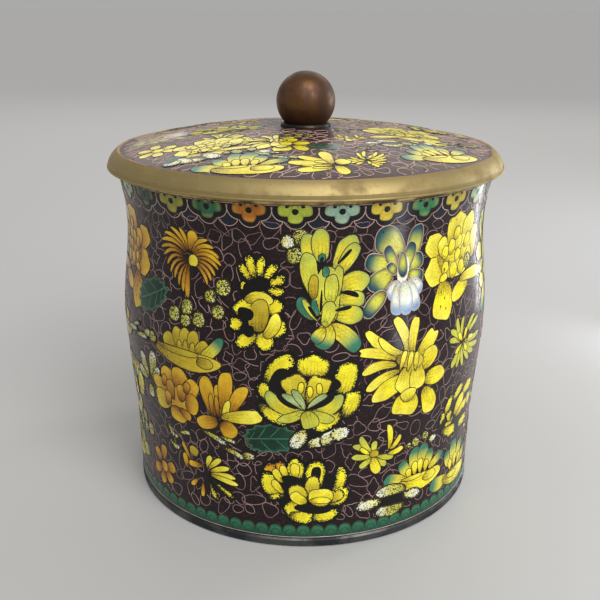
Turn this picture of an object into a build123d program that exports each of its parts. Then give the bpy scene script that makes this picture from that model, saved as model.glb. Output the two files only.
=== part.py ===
from build123d import *
import os

os.makedirs("parts", exist_ok=True)

# ---------------------------------------------------------------- sizes, mm
# Jar standing on its foot: +Z up, origin at the centre of the resting plane.
foot_height = 3.4
foot_outer_r = 63.9
foot_inner_r = 58.5
foot_round = 0.9
foot_sole_round = 0.6

# Outside of the enamelled wall as (radius, height): two straight border bands
# with the swelling and the waist between them.
wall_foot = (63.6, 3.4)
wall_mouth = (66.3, 117.2)
wall_outline = [
    (63.75, 9.4),
    (63.9, 22.0),
    (64.4, 34.0),
    (65.4, 46.0),
    (66.3, 57.0),
    (66.7, 68.0),
    (66.1, 78.0),
    (64.9, 88.0),
    (64.1, 97.0),
    (64.15, 103.5),
    (64.8, 109.4),
]
wall_end_slopes = [(0.025, 1.0), (0.192, 1.0)]
enamel_thickness = 1.0
copper_thickness = 1.2
lining_thickness = 0.6
shell_outer_inset = enamel_thickness
shell_inner_inset = enamel_thickness + copper_thickness
lining_inset = shell_inner_inset + lining_thickness

base_plate_r = 61.3
base_plate_top = foot_height + copper_thickness
base_enamel_r = foot_inner_r - 0.1
floor_enamel_r = 60.7

mouth_ring_bottom = 117.2
mouth_plane = 118.6
mouth_ring_outer_r = 66.4
mouth_ring_inner_r = 61.6
mouth_ring_round = 0.4

# Lid, closed on the jar: top of its enamelled dome as (radius, height).
dome_seat_r = 9.6
dome_apex = 131.1
dome_outline = [
    (dome_seat_r, dome_apex),
    (22.0, 130.75),
    (36.0, 129.65),
    (48.0, 127.95),
    (58.0, 126.05),
    (65.3, 124.3),
]
dome_edge_r = 65.3
dome_edge_z = 124.3
dome_slopes = [(1.0, 0.0), (1.0, -0.27)]
dome_lip_r = 65.7
dome_hole_r = 2.1
enamel_hole_r = 2.6
dome_lining_inner_r = 6.6
dome_lining_outer_r = 59.8

rim_inner_r = 61.2
rim_bead_r = 70.0
rim_bead_height = 0.8
rim_face_r = 69.5
rim_face_top = 120.5
rim_shoulder = (68.15, 122.75)
rim_crest = (66.2, 124.45)
rim_ledge_z = 122.1

flange_outer_r = rim_inner_r
flange_inner_r = 60.0
flange_bottom = 110.6
flange_top = 122.2
flange_lead = 0.6

knob_r = 10.4
knob_centre_z = 139.8
knob_seat_z = 132.4
knob_bore_depth = 8.0

collar_r = 8.9
collar_edge_height = 0.5
collar_neck_r = 7.5
collar_swell = (8.6, 132.15)

stud_r = 2.0
washer_r = 6.0
washer_thickness = 0.8
washer_top = dome_apex - enamel_thickness - copper_thickness
nut_across_flats = 7.0
nut_height = 3.2
nut_top = washer_top - washer_thickness
nut_bottom = nut_top - nut_height
stud_below_nut = 1.0

dome_shell_top = [(r, z - enamel_thickness) for r, z in dome_outline]
dome_shell_under = [(r, z - enamel_thickness - copper_thickness) for r, z in dome_outline]
dome_lining_under = [(r, z - lining_thickness) for r, z in dome_shell_under]


def wall_side(inset):
    # The wall's side from foot to mouth, moved towards the axis by inset.
    side = [(r - inset, z) for r, z in wall_outline]
    Line((wall_foot[0] - inset, wall_foot[1]), side[0])
    Spline(*side, tangents=wall_end_slopes)
    Line(side[-1], (wall_mouth[0] - inset, wall_mouth[1]))


def wall_layer(outer, inner, bottom):
    # Closed section of one layer of the wall between two insets.
    wall_side(outer)
    wall_side(inner)
    Line((wall_foot[0] - outer, bottom), (wall_foot[0] - inner, bottom))
    Line((wall_mouth[0] - outer, wall_mouth[1]), (wall_mouth[0] - inner, wall_mouth[1]))


# ---------------------------------------------------------------- jar
# Turned brass foot under the wall; the base plate lies on its top.
with BuildPart() as foot_ring:
    with BuildSketch(Plane.XZ):
        with BuildLine():
            Polyline(
                (foot_inner_r, 0),
                (foot_outer_r - foot_sole_round, 0),
                (foot_outer_r, foot_sole_round),
                (foot_outer_r, foot_height - foot_round),
                (foot_outer_r - foot_round, foot_height),
                (foot_inner_r, foot_height),
                close=True,
            )
        make_face()
    revolve(axis=Axis.Z)
foot_ring.part.label = "foot_ring"
export_step(foot_ring.part, "parts/foot_ring.step")

# Spun copper wall.
with BuildPart() as wall_shell:
    with BuildSketch(Plane.XZ):
        with BuildLine():
            wall_layer(shell_outer_inset, shell_inner_inset, foot_height)
        make_face()
    revolve(axis=Axis.Z)
wall_shell.part.label = "wall_shell"
export_step(wall_shell.part, "parts/wall_shell.step")

# Counter-enamel inside the wall; its lower end stands on the base plate.
with BuildPart() as wall_lining:
    with BuildSketch(Plane.XZ):
        with BuildLine():
            wall_layer(shell_inner_inset, lining_inset, foot_height)
        make_face()
    revolve(axis=Axis.Z)
    with BuildSketch(Plane.XY.offset(foot_height)):
        Circle(foot_outer_r)
    extrude(amount=copper_thickness, mode=Mode.SUBTRACT)
wall_lining.part.label = "wall_lining"
export_step(wall_lining.part, "parts/wall_lining.step")

# Copper disc that closes the bottom.
with BuildPart() as base_plate:
    with BuildSketch(Plane.XY.offset(foot_height)):
        Circle(base_plate_r)
    extrude(amount=copper_thickness)
base_plate.part.label = "base_plate"
export_step(base_plate.part, "parts/base_plate.step")

# Counter-enamel on the upper face of the base plate.
with BuildPart() as floor_enamel:
    with BuildSketch(Plane.XY.offset(base_plate_top)):
        Circle(floor_enamel_r)
    extrude(amount=lining_thickness)
floor_enamel.part.label = "floor_enamel"
export_step(floor_enamel.part, "parts/floor_enamel.step")

# Counter-enamel on the underside, inside the foot.
with BuildPart() as base_enamel:
    with BuildSketch(Plane.XY.offset(foot_height)):
        Circle(base_enamel_r)
    extrude(amount=-lining_thickness)
base_enamel.part.label = "base_enamel"
export_step(base_enamel.part, "parts/base_enamel.step")

# Turned ring that caps the wall and its enamels at the mouth.
with BuildPart() as mouth_ring:
    with BuildSketch(Plane.XZ):
        with BuildLine():
            Polyline(
                (mouth_ring_inner_r, mouth_ring_bottom),
                (mouth_ring_outer_r, mouth_ring_bottom),
                (mouth_ring_outer_r, mouth_plane - mouth_ring_round),
                (mouth_ring_outer_r - mouth_ring_round, mouth_plane),
                (mouth_ring_inner_r + mouth_ring_round, mouth_plane),
                (mouth_ring_inner_r, mouth_plane - mouth_ring_round),
                close=True,
            )
        make_face()
    revolve(axis=Axis.Z)
mouth_ring.part.label = "mouth_ring"
export_step(mouth_ring.part, "parts/mouth_ring.step")

# Outer enamel coat, ground flush with the wires it is laid between.
with BuildPart() as wall_enamel:
    with BuildSketch(Plane.XZ):
        with BuildLine():
            wall_layer(0, shell_outer_inset, foot_height)
        make_face()
    revolve(axis=Axis.Z)
wall_enamel.part.label = "wall_enamel"
export_step(wall_enamel.part, "parts/wall_enamel.step")

# ---------------------------------------------------------------- lid
# Spun copper dome with a thin upturned lip that holds the enamel.
with BuildPart() as dome_shell:
    with BuildSketch(Plane.XZ):
        with BuildLine():
            Line((dome_hole_r, dome_shell_top[0][1]), dome_shell_top[0])
            Spline(*dome_shell_top, tangents=dome_slopes)
            Line(dome_shell_top[-1], dome_outline[-1])
            Line(dome_outline[-1], (dome_lip_r, dome_edge_z))
            Line((dome_lip_r, dome_edge_z), (dome_lip_r, dome_shell_under[-1][1]))
            Line((dome_lip_r, dome_shell_under[-1][1]), dome_shell_under[-1])
            Spline(*dome_shell_under, tangents=dome_slopes)
            Line(dome_shell_under[0], (dome_hole_r, dome_shell_under[0][1]))
            Line((dome_hole_r, dome_shell_under[0][1]), (dome_hole_r, dome_shell_top[0][1]))
        make_face()
    revolve(axis=Axis.Z)
dome_shell.part.label = "dome_shell"
export_step(dome_shell.part, "parts/dome_shell.step")

# Enamel on the dome, flat in the middle where the knob's collar sits.
with BuildPart() as dome_enamel:
    with BuildSketch(Plane.XZ):
        with BuildLine():
            Line((enamel_hole_r, dome_apex), dome_outline[0])
            Spline(*dome_outline, tangents=dome_slopes)
            Line(dome_outline[-1], dome_shell_top[-1])
            Spline(*dome_shell_top, tangents=dome_slopes)
            Line(dome_shell_top[0], (enamel_hole_r, dome_shell_top[0][1]))
            Line((enamel_hole_r, dome_shell_top[0][1]), (enamel_hole_r, dome_apex))
        make_face()
    revolve(axis=Axis.Z)
dome_enamel.part.label = "dome_enamel"
export_step(dome_enamel.part, "parts/dome_enamel.step")

# Counter-enamel under the dome, bare in the middle for the knob's fixing.
with BuildPart() as dome_lining:
    with BuildSketch(Plane.XZ):
        with BuildLine():
            Line((dome_hole_r, dome_shell_under[0][1]), dome_shell_under[0])
            Spline(*dome_shell_under, tangents=dome_slopes)
            Line(dome_shell_under[-1], dome_lining_under[-1])
            Spline(*dome_lining_under, tangents=dome_slopes)
            Line(dome_lining_under[0], (dome_hole_r, dome_lining_under[0][1]))
            Line((dome_hole_r, dome_lining_under[0][1]), (dome_hole_r, dome_shell_under[0][1]))
        make_face()
    revolve(axis=Axis.Z)
    with BuildSketch(Plane.XY.offset(flange_bottom)):
        Circle(rim_bead_r)
        Circle(dome_lining_outer_r, mode=Mode.SUBTRACT)
        Circle(dome_lining_inner_r)
    extrude(amount=knob_centre_z - flange_bottom, mode=Mode.SUBTRACT)
dome_lining.part.label = "dome_lining"
export_step(dome_lining.part, "parts/dome_lining.step")

# Turned brass rim: flat sole, fine bead at its lower edge, sloping shoulder.
with BuildPart() as lid_rim:
    with BuildSketch(Plane.XZ):
        with BuildLine():
            Line((rim_inner_r, mouth_plane), (rim_face_r, mouth_plane))
            ThreePointArc(
                (rim_face_r, mouth_plane),
                (rim_bead_r, mouth_plane + rim_bead_height / 2),
                (rim_face_r, mouth_plane + rim_bead_height),
            )
            Line((rim_face_r, mouth_plane + rim_bead_height), (rim_face_r, rim_face_top))
            ThreePointArc((rim_face_r, rim_face_top), rim_shoulder, rim_crest)
            Line(rim_crest, (dome_lip_r, dome_edge_z))
            Line((dome_lip_r, dome_edge_z), (dome_lip_r, rim_ledge_z))
            Line((dome_lip_r, rim_ledge_z), (rim_inner_r, rim_ledge_z))
            Line((rim_inner_r, rim_ledge_z), (rim_inner_r, mouth_plane))
        make_face()
    revolve(axis=Axis.Z)
lid_rim.part.label = "lid_rim"
export_step(lid_rim.part, "parts/lid_rim.step")

# Locating flange soldered inside the rim; it drops into the mouth.
with BuildPart() as lid_flange:
    with BuildSketch(Plane.XZ):
        with BuildLine():
            Polyline(
                (flange_inner_r, flange_bottom),
                (flange_outer_r - flange_lead, flange_bottom),
                (flange_outer_r, flange_bottom + flange_lead),
                (flange_outer_r, flange_top),
                (flange_inner_r, flange_top),
                close=True,
            )
        make_face()
    revolve(axis=Axis.Z)
lid_flange.part.label = "lid_flange"
export_step(lid_flange.part, "parts/lid_flange.step")

# Turned collar under the ball.
with BuildPart() as knob_collar:
    with BuildSketch(Plane.XZ):
        with BuildLine():
            Line((dome_hole_r, dome_apex), (collar_r, dome_apex))
            Line((collar_r, dome_apex), (collar_r, dome_apex + collar_edge_height))
            ThreePointArc((collar_r, dome_apex + collar_edge_height), collar_swell, (collar_neck_r, knob_seat_z))
            Line((collar_neck_r, knob_seat_z), (dome_hole_r, knob_seat_z))
            Line((dome_hole_r, knob_seat_z), (dome_hole_r, dome_apex))
        make_face()
    revolve(axis=Axis.Z)
knob_collar.part.label = "knob_collar"
export_step(knob_collar.part, "parts/knob_collar.step")

# Ball knob, turned flat where it sits and tapped for the stud.
with BuildPart() as knob_ball:
    with Locations((0, 0, knob_centre_z)):
        Sphere(knob_r)
    with BuildSketch(Plane.XY.offset(knob_seat_z)):
        Circle(knob_r)
    extrude(amount=-knob_r, mode=Mode.SUBTRACT)
    with BuildSketch(Plane.XY.offset(knob_seat_z)):
        Circle(stud_r)
    extrude(amount=knob_bore_depth, mode=Mode.SUBTRACT)
knob_ball.part.label = "knob_ball"
export_step(knob_ball.part, "parts/knob_ball.step")

# Stud from the nut up into the ball.
with BuildPart() as knob_stud:
    with BuildSketch(Plane.XY.offset(nut_bottom - stud_below_nut)):
        Circle(stud_r)
    extrude(amount=knob_seat_z + knob_bore_depth - nut_bottom + stud_below_nut)
knob_stud.part.label = "knob_stud"
export_step(knob_stud.part, "parts/knob_stud.step")

# Washer against the bare copper inside the dome.
with BuildPart() as knob_washer:
    with BuildSketch(Plane.XY.offset(washer_top)):
        Circle(washer_r)
        Circle(dome_hole_r, mode=Mode.SUBTRACT)
    extrude(amount=-washer_thickness)
knob_washer.part.label = "knob_washer"
export_step(knob_washer.part, "parts/knob_washer.step")

# Hexagon nut that pulls the knob down.
with BuildPart() as knob_nut:
    with BuildSketch(Plane.XY.offset(nut_top)):
        RegularPolygon(nut_across_flats / 2, 6, major_radius=False)
        Circle(stud_r, mode=Mode.SUBTRACT)
    extrude(amount=-nut_height)
knob_nut.part.label = "knob_nut"
export_step(knob_nut.part, "parts/knob_nut.step")
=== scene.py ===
"""Looks of a lidded cloisonne jar: enamel flowers, bent wires, borders, metal fittings, light and camera."""

import logging
import math
import random
from dataclasses import dataclass
from enum import Enum
from typing import Callable, Optional, Sequence

import bpy
from mathutils import Matrix, Vector


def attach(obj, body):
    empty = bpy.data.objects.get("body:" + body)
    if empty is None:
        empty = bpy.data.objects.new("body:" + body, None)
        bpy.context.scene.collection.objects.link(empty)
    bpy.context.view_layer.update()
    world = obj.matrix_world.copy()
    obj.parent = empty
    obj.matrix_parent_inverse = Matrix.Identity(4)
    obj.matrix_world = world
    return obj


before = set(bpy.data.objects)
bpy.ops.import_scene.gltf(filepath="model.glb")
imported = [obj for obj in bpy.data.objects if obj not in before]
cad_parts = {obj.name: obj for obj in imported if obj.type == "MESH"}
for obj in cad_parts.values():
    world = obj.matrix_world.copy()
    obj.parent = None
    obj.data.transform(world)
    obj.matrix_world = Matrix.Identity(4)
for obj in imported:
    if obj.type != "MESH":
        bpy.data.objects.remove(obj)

log = logging.getLogger("jar")
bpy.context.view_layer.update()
MM = 0.001
ARC = 1.134  # mm of wall for one degree round the jar
Colour = tuple[float, float, float]
Point = tuple[float, float]


def srgb(red: int, green: int, blue: int) -> Colour:
    """Linear colour of three display values from 0 to 255."""
    return tuple(((c / 255 + 0.055) / 1.055) ** 2.4 if c > 10 else c / 3294.6 for c in (red, green, blue))


def blend(low: Sequence[float], high: Sequence[float], share: float) -> Colour:
    """Colour between two colours, at share from 0 to 1."""
    share = min(1.0, max(0.0, share))
    return tuple(a + (b - a) * share for a, b in zip(low, high))


# ---------------------------------------------------------------- shading
class Socket:
    """A shader output on which Python arithmetic adds Math nodes."""

    def __init__(self, shader: "Shader", link: bpy.types.NodeSocket) -> None:
        """Wraps the output link of the shader's tree."""
        self.shader = shader
        self.link = link

    def _math(self, operation: str, first: object, second: object) -> "Socket":
        """One Math node.

        Args:
            operation: the node's operation.
            first: a Socket or a number.
            second: a Socket or a number.

        Returns:
            The node's value.
        """
        return self.shader.node("ShaderNodeMath", {"operation": operation}, {0: first, 1: second})

    def __add__(self, other: object) -> "Socket":
        """Sum."""
        return self._math("ADD", self, other)

    __radd__ = __add__

    def __sub__(self, other: object) -> "Socket":
        """Difference."""
        return self._math("SUBTRACT", self, other)

    def __rsub__(self, other: object) -> "Socket":
        """Difference from a number."""
        return self._math("SUBTRACT", other, self)

    def __mul__(self, other: object) -> "Socket":
        """Product."""
        return self._math("MULTIPLY", self, other)

    __rmul__ = __mul__

    def __pow__(self, other: object) -> "Socket":
        """Power."""
        return self._math("POWER", self, other)

    def __gt__(self, other: object) -> "Socket":
        """1 where this is greater."""
        return self._math("GREATER_THAN", self, other)

    def __lt__(self, other: object) -> "Socket":
        """1 where this is less."""
        return self._math("LESS_THAN", self, other)

    def wave(self) -> "Socket":
        """A sine raised to run from 0 to 1."""
        return self._math("SINE", self, 0.0) * 0.5 + 0.5

    def clamp(self) -> "Socket":
        """The value held between 0 and 1."""
        return self._math("MINIMUM", self._math("MAXIMUM", self, 0.0), 1.0)


class Shader:
    """Builds one material's node tree."""

    def __init__(self, name: str) -> None:
        """Makes the material and its surface shader."""
        self.material = bpy.data.materials.new(name)
        self.material.use_nodes = True
        self.tree = self.material.node_tree
        self.surface = self.tree.nodes["Principled BSDF"]

    def node(self, kind: str, settings: Optional[dict] = None, inputs: Optional[dict] = None,
             output: object = 0) -> Socket:
        """Adds a node.

        Args:
            kind: the node's type.
            settings: properties set first.
            inputs: values or Sockets by input name or number.
            output: name or number of the output wanted.

        Returns:
            That output.
        """
        node = self.tree.nodes.new(kind)
        for key, value in (settings or {}).items():
            setattr(node, key, value)
        for key, value in (inputs or {}).items():
            if isinstance(value, Socket):
                self.tree.links.new(value.link, node.inputs[key])
            else:
                node.inputs[key].default_value = value
        return Socket(self, node.outputs[output])

    def set(self, **inputs: object) -> None:
        """Sets the surface shader's sockets; an underscore in a name stands for a space."""
        for key, value in inputs.items():
            socket = self.surface.inputs[key.replace("_", " ")]
            if isinstance(value, Socket):
                self.tree.links.new(value.link, socket)
            else:
                socket.default_value = value

    def place(self) -> Socket:
        """Object coordinates in metres."""
        return self.node("ShaderNodeTexCoord", output="Object")

    def attribute(self, name: str, output: str = "Color") -> Socket:
        """A named attribute of the mesh."""
        return self.node("ShaderNodeAttribute", {"attribute_name": name}, output=output)

    def parts(self, vector: Socket) -> list[Socket]:
        """The three numbers of a vector."""
        first = self.node("ShaderNodeSeparateXYZ", inputs={0: vector})
        return [Socket(self, out) for out in first.link.node.outputs]

    def noise(self, scale: float, detail: float = 2.0, vector: Optional[Socket] = None) -> Socket:
        """Soft noise at a scale per metre."""
        return self.node("ShaderNodeTexNoise", None,
                         {"Vector": vector or self.place(), "Scale": scale, "Detail": detail})

    def cells(self, scale: float) -> Socket:
        """A random number for every grain of enamel."""
        colour = self.node("ShaderNodeTexVoronoi", None, {"Vector": self.place(), "Scale": scale}, "Color")
        return self.parts(colour)[0]

    def mix(self, share: object, low: object, high: object, mode: str = "MIX") -> Socket:
        """Mixes two colours by share."""
        wide = [(*c, 1.0) if isinstance(c, tuple) else c for c in (low, high)]
        return self.node("ShaderNodeMix", {"data_type": "RGBA", "blend_type": mode},
                         {0: share, 6: wide[0], 7: wide[1]}, 2)

    def turned(self) -> tuple[Socket, Socket]:
        """Distance from the jar's axis and height, in metres."""
        across, deep, high = self.parts(self.place())
        return (across * across + deep * deep) ** 0.5, high

    def bump(self, height: Socket, depth: float, strength: float = 0.5) -> Socket:
        """A bump of some depth in metres."""
        return self.node("ShaderNodeBump", None, {"Strength": strength, "Distance": depth, "Height": height})


@dataclass(frozen=True)
class FiredEnamel:
    """Glossy fired enamel of the flowers and heads, coloured by the piece's own attributes."""

    name: str = "fired_enamel"
    grain_scale: float = 4800.0
    speckle_scale: float = 3300.0
    root_shade: Colour = (0.24, 0.2, 0.16)
    roughness: float = 0.16

    def material(self) -> bpy.types.Material:
        """Builds the material: grained tints, veins and stipple at the root, speckled rims, fine pits."""
        shader = Shader(self.name)
        tint = shader.attribute("tint")
        rim, reach, fleck = shader.parts(shader.attribute("marks", "Vector"))
        grain = shader.cells(self.grain_scale)
        cloud = shader.noise(260.0, 3.0)
        tint = shader.mix(1.0, tint, shader.mix(grain, (0.78, 0.76, 0.70), (1.12, 1.12, 1.1)), "MULTIPLY")
        tint = shader.mix(1.0, tint, shader.mix(cloud, (0.62, 0.55, 0.45), (1.32, 1.38, 1.45)), "MULTIPLY")
        run, across, veins = shader.parts(shader.attribute("grow", "Vector"))
        line = (across * 5.6 + shader.noise(330.0, 2.0) * 7.0).wave() ** 9.0
        stipple = shader.cells(self.speckle_scale) < (0.46 - run) * veins
        shade = (line * ((0.78 - run) * 1.7).clamp() * veins + stipple * 0.75).clamp() * 0.85
        tint = shader.mix(shade, tint, shader.mix(1.0, tint, self.root_shade, "MULTIPLY"))
        lost = (shader.cells(self.speckle_scale) * reach > rim) * (reach > 0.01)
        flecked = shader.cells(self.speckle_scale) < fleck
        dark = shader.mix(cloud, (0.008, 0.010, 0.007), (0.02, 0.018, 0.012))
        colour = shader.mix(lost, tint, dark)
        colour = shader.mix(flecked, colour, (0.02, 0.032, 0.012))
        pits = shader.noise(2600.0, 1.0)
        shader.set(Base_Color=colour, Roughness=self.roughness + 0.1 * cloud, Specular_IOR_Level=0.28,
                   Normal=shader.bump(pits, 0.00003, 0.35))
        return shader.material


@dataclass(frozen=True)
class GroundEnamel:
    """Plain field enamel with colour drift, specks of other glass and tiny pinholes."""

    name: str
    low: Colour
    high: Colour
    speck: Colour
    roughness: float = 0.15

    def material(self) -> bpy.types.Material:
        """Builds the material."""
        shader = Shader(self.name)
        drift = shader.noise(70.0, 4.0)
        grain = shader.cells(3000.0)
        colour = shader.mix(drift, self.low, self.high)
        colour = shader.mix((grain > 0.93) * 0.55, colour, self.speck)
        pinholes = shader.cells(1500.0) > 0.992
        colour = shader.mix(pinholes * 0.7, colour, (0.01, 0.008, 0.008))
        pits = shader.noise(1800.0, 2.0)
        shader.set(Base_Color=colour, Roughness=self.roughness + 0.14 * drift + 0.3 * pinholes,
                   Specular_IOR_Level=0.28, Normal=shader.bump(pits, 0.00004, 0.3))
        return shader.material


@dataclass(frozen=True)
class TurnedMetal:
    """Lathe-turned metal with tool rings, rubbed light places, dark patina and fine scratches."""

    name: str
    bright: Colour
    patina: Colour
    roughness: float = 0.34
    cover: float = 0.45
    rings: float = 2200.0
    depth: float = 0.00003

    def material(self) -> bpy.types.Material:
        """Builds the material."""
        shader = Shader(self.name)
        radius, height = shader.turned()
        along = shader.node("ShaderNodeCombineXYZ", None, {0: radius, 1: height})
        ring = shader.noise(self.rings, 2.0, along)
        stain = shader.noise(120.0, 5.0)
        spots = shader.noise(900.0, 3.0)
        worn = ((stain - (0.62 - self.cover * 0.4)) * 5.0).clamp()
        colour = shader.mix(worn, self.bright, self.patina)
        colour = shader.mix(((spots - 0.6) * 8.0).clamp() * 0.6, colour, self.patina)
        colour = shader.mix(ring * 0.35, colour, self.patina)
        rough = self.roughness + 0.22 * worn + 0.1 * spots
        shader.set(Base_Color=colour, Metallic=0.95 - 0.45 * worn, Roughness=rough.clamp(),
                   Normal=shader.bump(ring + 0.5 * spots, self.depth, 0.4))
        return shader.material


@dataclass(frozen=True)
class WireMetal:
    """Polished edge of a bent cloison wire."""

    name: str
    bright: Colour
    dull: Colour
    roughness: float = 0.38
    metallic: float = 0.6

    def material(self) -> bpy.types.Material:
        """Builds the material."""
        shader = Shader(self.name)
        drift = shader.noise(160.0, 3.0)
        spots = shader.noise(1400.0, 2.0)
        colour = shader.mix((drift * 1.5 - 0.3).clamp(), self.dull, self.bright)
        colour = shader.mix(((spots - 0.55) * 5.0).clamp() * 0.5, colour, self.dull)
        shader.set(Base_Color=colour, Metallic=self.metallic, Roughness=self.roughness + 0.2 * spots)
        return shader.material


# ---------------------------------------------------------------- enamel palette
@dataclass(frozen=True)
class Glaze:
    """Colours of one petal from root to tip and at its rim."""

    root: Colour
    body: Colour
    tip: Colour
    tip_from: float = 0.72
    rim: Optional[Colour] = None
    rim_width: float = 0.9
    reach: float = 0.0
    fleck: float = 0.0
    pale: bool = False
    veins: float = 0.7

    def tint(self, run: float, edge: float) -> Colour:
        """Colour at a share of the petal's length and a distance in mm from its edge."""
        colour = blend(self.root, self.body, run / 0.38)
        span = max(0.05, 1.0 - self.tip_from)
        colour = blend(colour, self.tip, (run - self.tip_from + span * 0.5) / span)
        if self.rim:
            colour = blend(self.rim, colour, edge / self.rim_width)
        return colour


YELLOW_GLASS = srgb(240, 226, 42)
TEAL_GLASS = srgb(52, 122, 100)
NAVY_GLASS = srgb(26, 58, 72)
WHITE_GLASS = srgb(238, 240, 226)
BLACK_GLASS = srgb(11, 10, 10)


class Paint(Enum):
    """Enamel colours that the petals are filled with."""

    BLACK = Glaze(BLACK_GLASS, BLACK_GLASS, BLACK_GLASS, veins=0.0)
    YELLOW = Glaze(srgb(186, 160, 40), YELLOW_GLASS, srgb(240, 226, 78))
    SUN = Glaze(srgb(164, 142, 38), srgb(230, 214, 54), srgb(244, 234, 80), 0.6)
    HUB = Glaze(srgb(150, 128, 40), srgb(196, 176, 48), srgb(206, 188, 60))
    EDGED = Glaze(srgb(190, 176, 48), srgb(236, 222, 44), srgb(250, 240, 50), reach=0.95)
    LOBE = Glaze(srgb(150, 140, 44), srgb(206, 190, 46), srgb(232, 218, 56), reach=0.6)
    LIME = Glaze(srgb(170, 176, 60), srgb(206, 206, 66), srgb(186, 192, 78))
    PALE = Glaze(srgb(186, 196, 120), srgb(170, 190, 128), srgb(150, 176, 120))
    GREENISH = Glaze(srgb(180, 166, 44), srgb(224, 212, 54), srgb(190, 196, 78),
                     rim=srgb(156, 176, 96), rim_width=0.7)
    TEAL_TIP = Glaze(srgb(214, 196, 48), srgb(224, 214, 66), TEAL_GLASS, 0.62)
    TEAL_ALL = Glaze(srgb(96, 140, 84), srgb(50, 118, 96), TEAL_GLASS)
    BLUE_EDGED = Glaze(srgb(226, 210, 56), srgb(208, 208, 84), srgb(38, 92, 98), 0.66,
                       NAVY_GLASS, 1.2, pale=True, veins=0.3)
    # White petals with pale blue tips and rims stand in for a bluish glare on the iris's lower petals:
    # painted reflection.
    WHITE_BLUE = Glaze(srgb(222, 214, 90), srgb(236, 240, 226), srgb(122, 158, 206), 0.74,
                       srgb(150, 180, 214), 0.8, pale=True, veins=0.25)
    WHITE = Glaze(WHITE_GLASS, WHITE_GLASS, srgb(226, 234, 226), veins=0.2)
    # The amber and deep amber of the flowers on the jar's left are partly their own enamel and partly painted
    # reflection of a warm orange surrounding.
    AMBER = Glaze(srgb(122, 72, 14), srgb(198, 146, 26), srgb(224, 182, 40), 0.6)
    DEEP_AMBER = Glaze(srgb(104, 56, 14), srgb(172, 118, 26), srgb(206, 158, 40), 0.6)
    GOLDEN = Glaze(srgb(160, 136, 34), srgb(206, 180, 42), srgb(216, 196, 58))
    OLIVE = Glaze(srgb(128, 106, 24), srgb(182, 160, 38), srgb(198, 180, 52))
    ORANGE = Glaze(srgb(200, 150, 30), srgb(238, 198, 36), srgb(222, 150, 30), reach=0.9)
    BUD = Glaze(srgb(172, 172, 66), srgb(206, 202, 92), srgb(232, 230, 160), fleck=0.5, reach=0.4, veins=0.0)
    SPRIG = Glaze(srgb(160, 160, 62), srgb(200, 196, 90), WHITE_GLASS, 0.7, fleck=0.3, reach=0.5, veins=0.0)
    LEAF = Glaze(srgb(10, 36, 28), srgb(15, 52, 40), srgb(26, 70, 54), 0.7,
                 srgb(66, 112, 88), 0.45, fleck=0.1, veins=0.2)
    SNOW = Glaze(srgb(226, 214, 90), srgb(232, 232, 180), WHITE_GLASS, 0.6, fleck=0.14, reach=0.9, veins=0.0)


# ---------------------------------------------------------------- surfaces
class Skin:
    """An enamelled surface with flat working coordinates in mm."""

    period = 0.0

    def point(self, x: float, y: float, lift: float) -> Vector:
        """Place in metres of flat coordinates, raised by lift mm."""
        raise NotImplementedError

    def gap(self, x: float) -> float:
        """Signed shortest distance round the surface."""
        if not self.period:
            return x
        return (x + self.period / 2) % self.period - self.period / 2

    def within(self, x: float, y: float) -> bool:
        """True where wires may lie."""
        return True


def outer_profile(node: str, key: Callable[[Vector], float], value: Callable[[Vector], float],
                  out: Callable[[Vector], Vector]) -> list[Point]:
    """Outer side of a turned node as pairs of a key and a value.

    Args:
        node: the CAD node.
        key: what a vertex is sorted by, in mm.
        value: what is kept at its largest, in mm.
        out: the outward direction at a place.

    Returns:
        Sorted pairs of key and value.
    """
    rows: dict[float, float] = {}
    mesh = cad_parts[node].data
    for face in mesh.polygons:
        if face.normal.dot(out(face.center)) < 0.7:
            continue
        for number in face.vertices:
            vertex = mesh.vertices[number].co
            place = round(key(vertex), 2)
            rows[place] = max(rows.get(place, -1e9), value(vertex))
    return sorted(rows.items())


def lookup(rows: list[Point], key: float) -> float:
    """Value at key on a line through sorted pairs."""
    for (k0, v0), (k1, v1) in zip(rows, rows[1:]):
        if key <= k1:
            return v0 + (v1 - v0) * max(0.0, (key - k0) / max(1e-9, k1 - k0))
    return rows[-1][1]


def radius_of(vertex: Vector) -> float:
    """Distance from the axis, in mm."""
    return math.hypot(vertex.x, vertex.y) / MM


def height_of(vertex: Vector) -> float:
    """Height, in mm."""
    return vertex.z / MM


class Wall(Skin):
    """Outside of the jar: x is arc length from the front, y is height."""

    period = 360 * ARC

    def __init__(self) -> None:
        """Reads the turned wall's side."""
        self.rows = outer_profile("wall_enamel", height_of, radius_of,
                                  lambda p: Vector((p.x, p.y, 0)).normalized())

    def point(self, x: float, y: float, lift: float) -> Vector:
        """Place on the wall."""
        turn = math.radians(x / ARC)
        reach = (lookup(self.rows, y) + lift) * MM
        return Vector((reach * math.sin(turn), -reach * math.cos(turn), y * MM))


class Dome(Skin):
    """Top of the lid: x to the right and y to the back, from above."""

    edge = 64.7

    def __init__(self) -> None:
        """Reads the dome's top line."""
        self.rows = outer_profile("dome_enamel", radius_of, height_of, lambda p: Vector((0, 0, 1)))

    def point(self, x: float, y: float, lift: float) -> Vector:
        """Place on the dome."""
        return Vector((x * MM, y * MM, (lookup(self.rows, math.hypot(x, y)) + lift) * MM))

    def within(self, x: float, y: float) -> bool:
        """True inside the edge of the field."""
        return math.hypot(x, y) < self.edge


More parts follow.
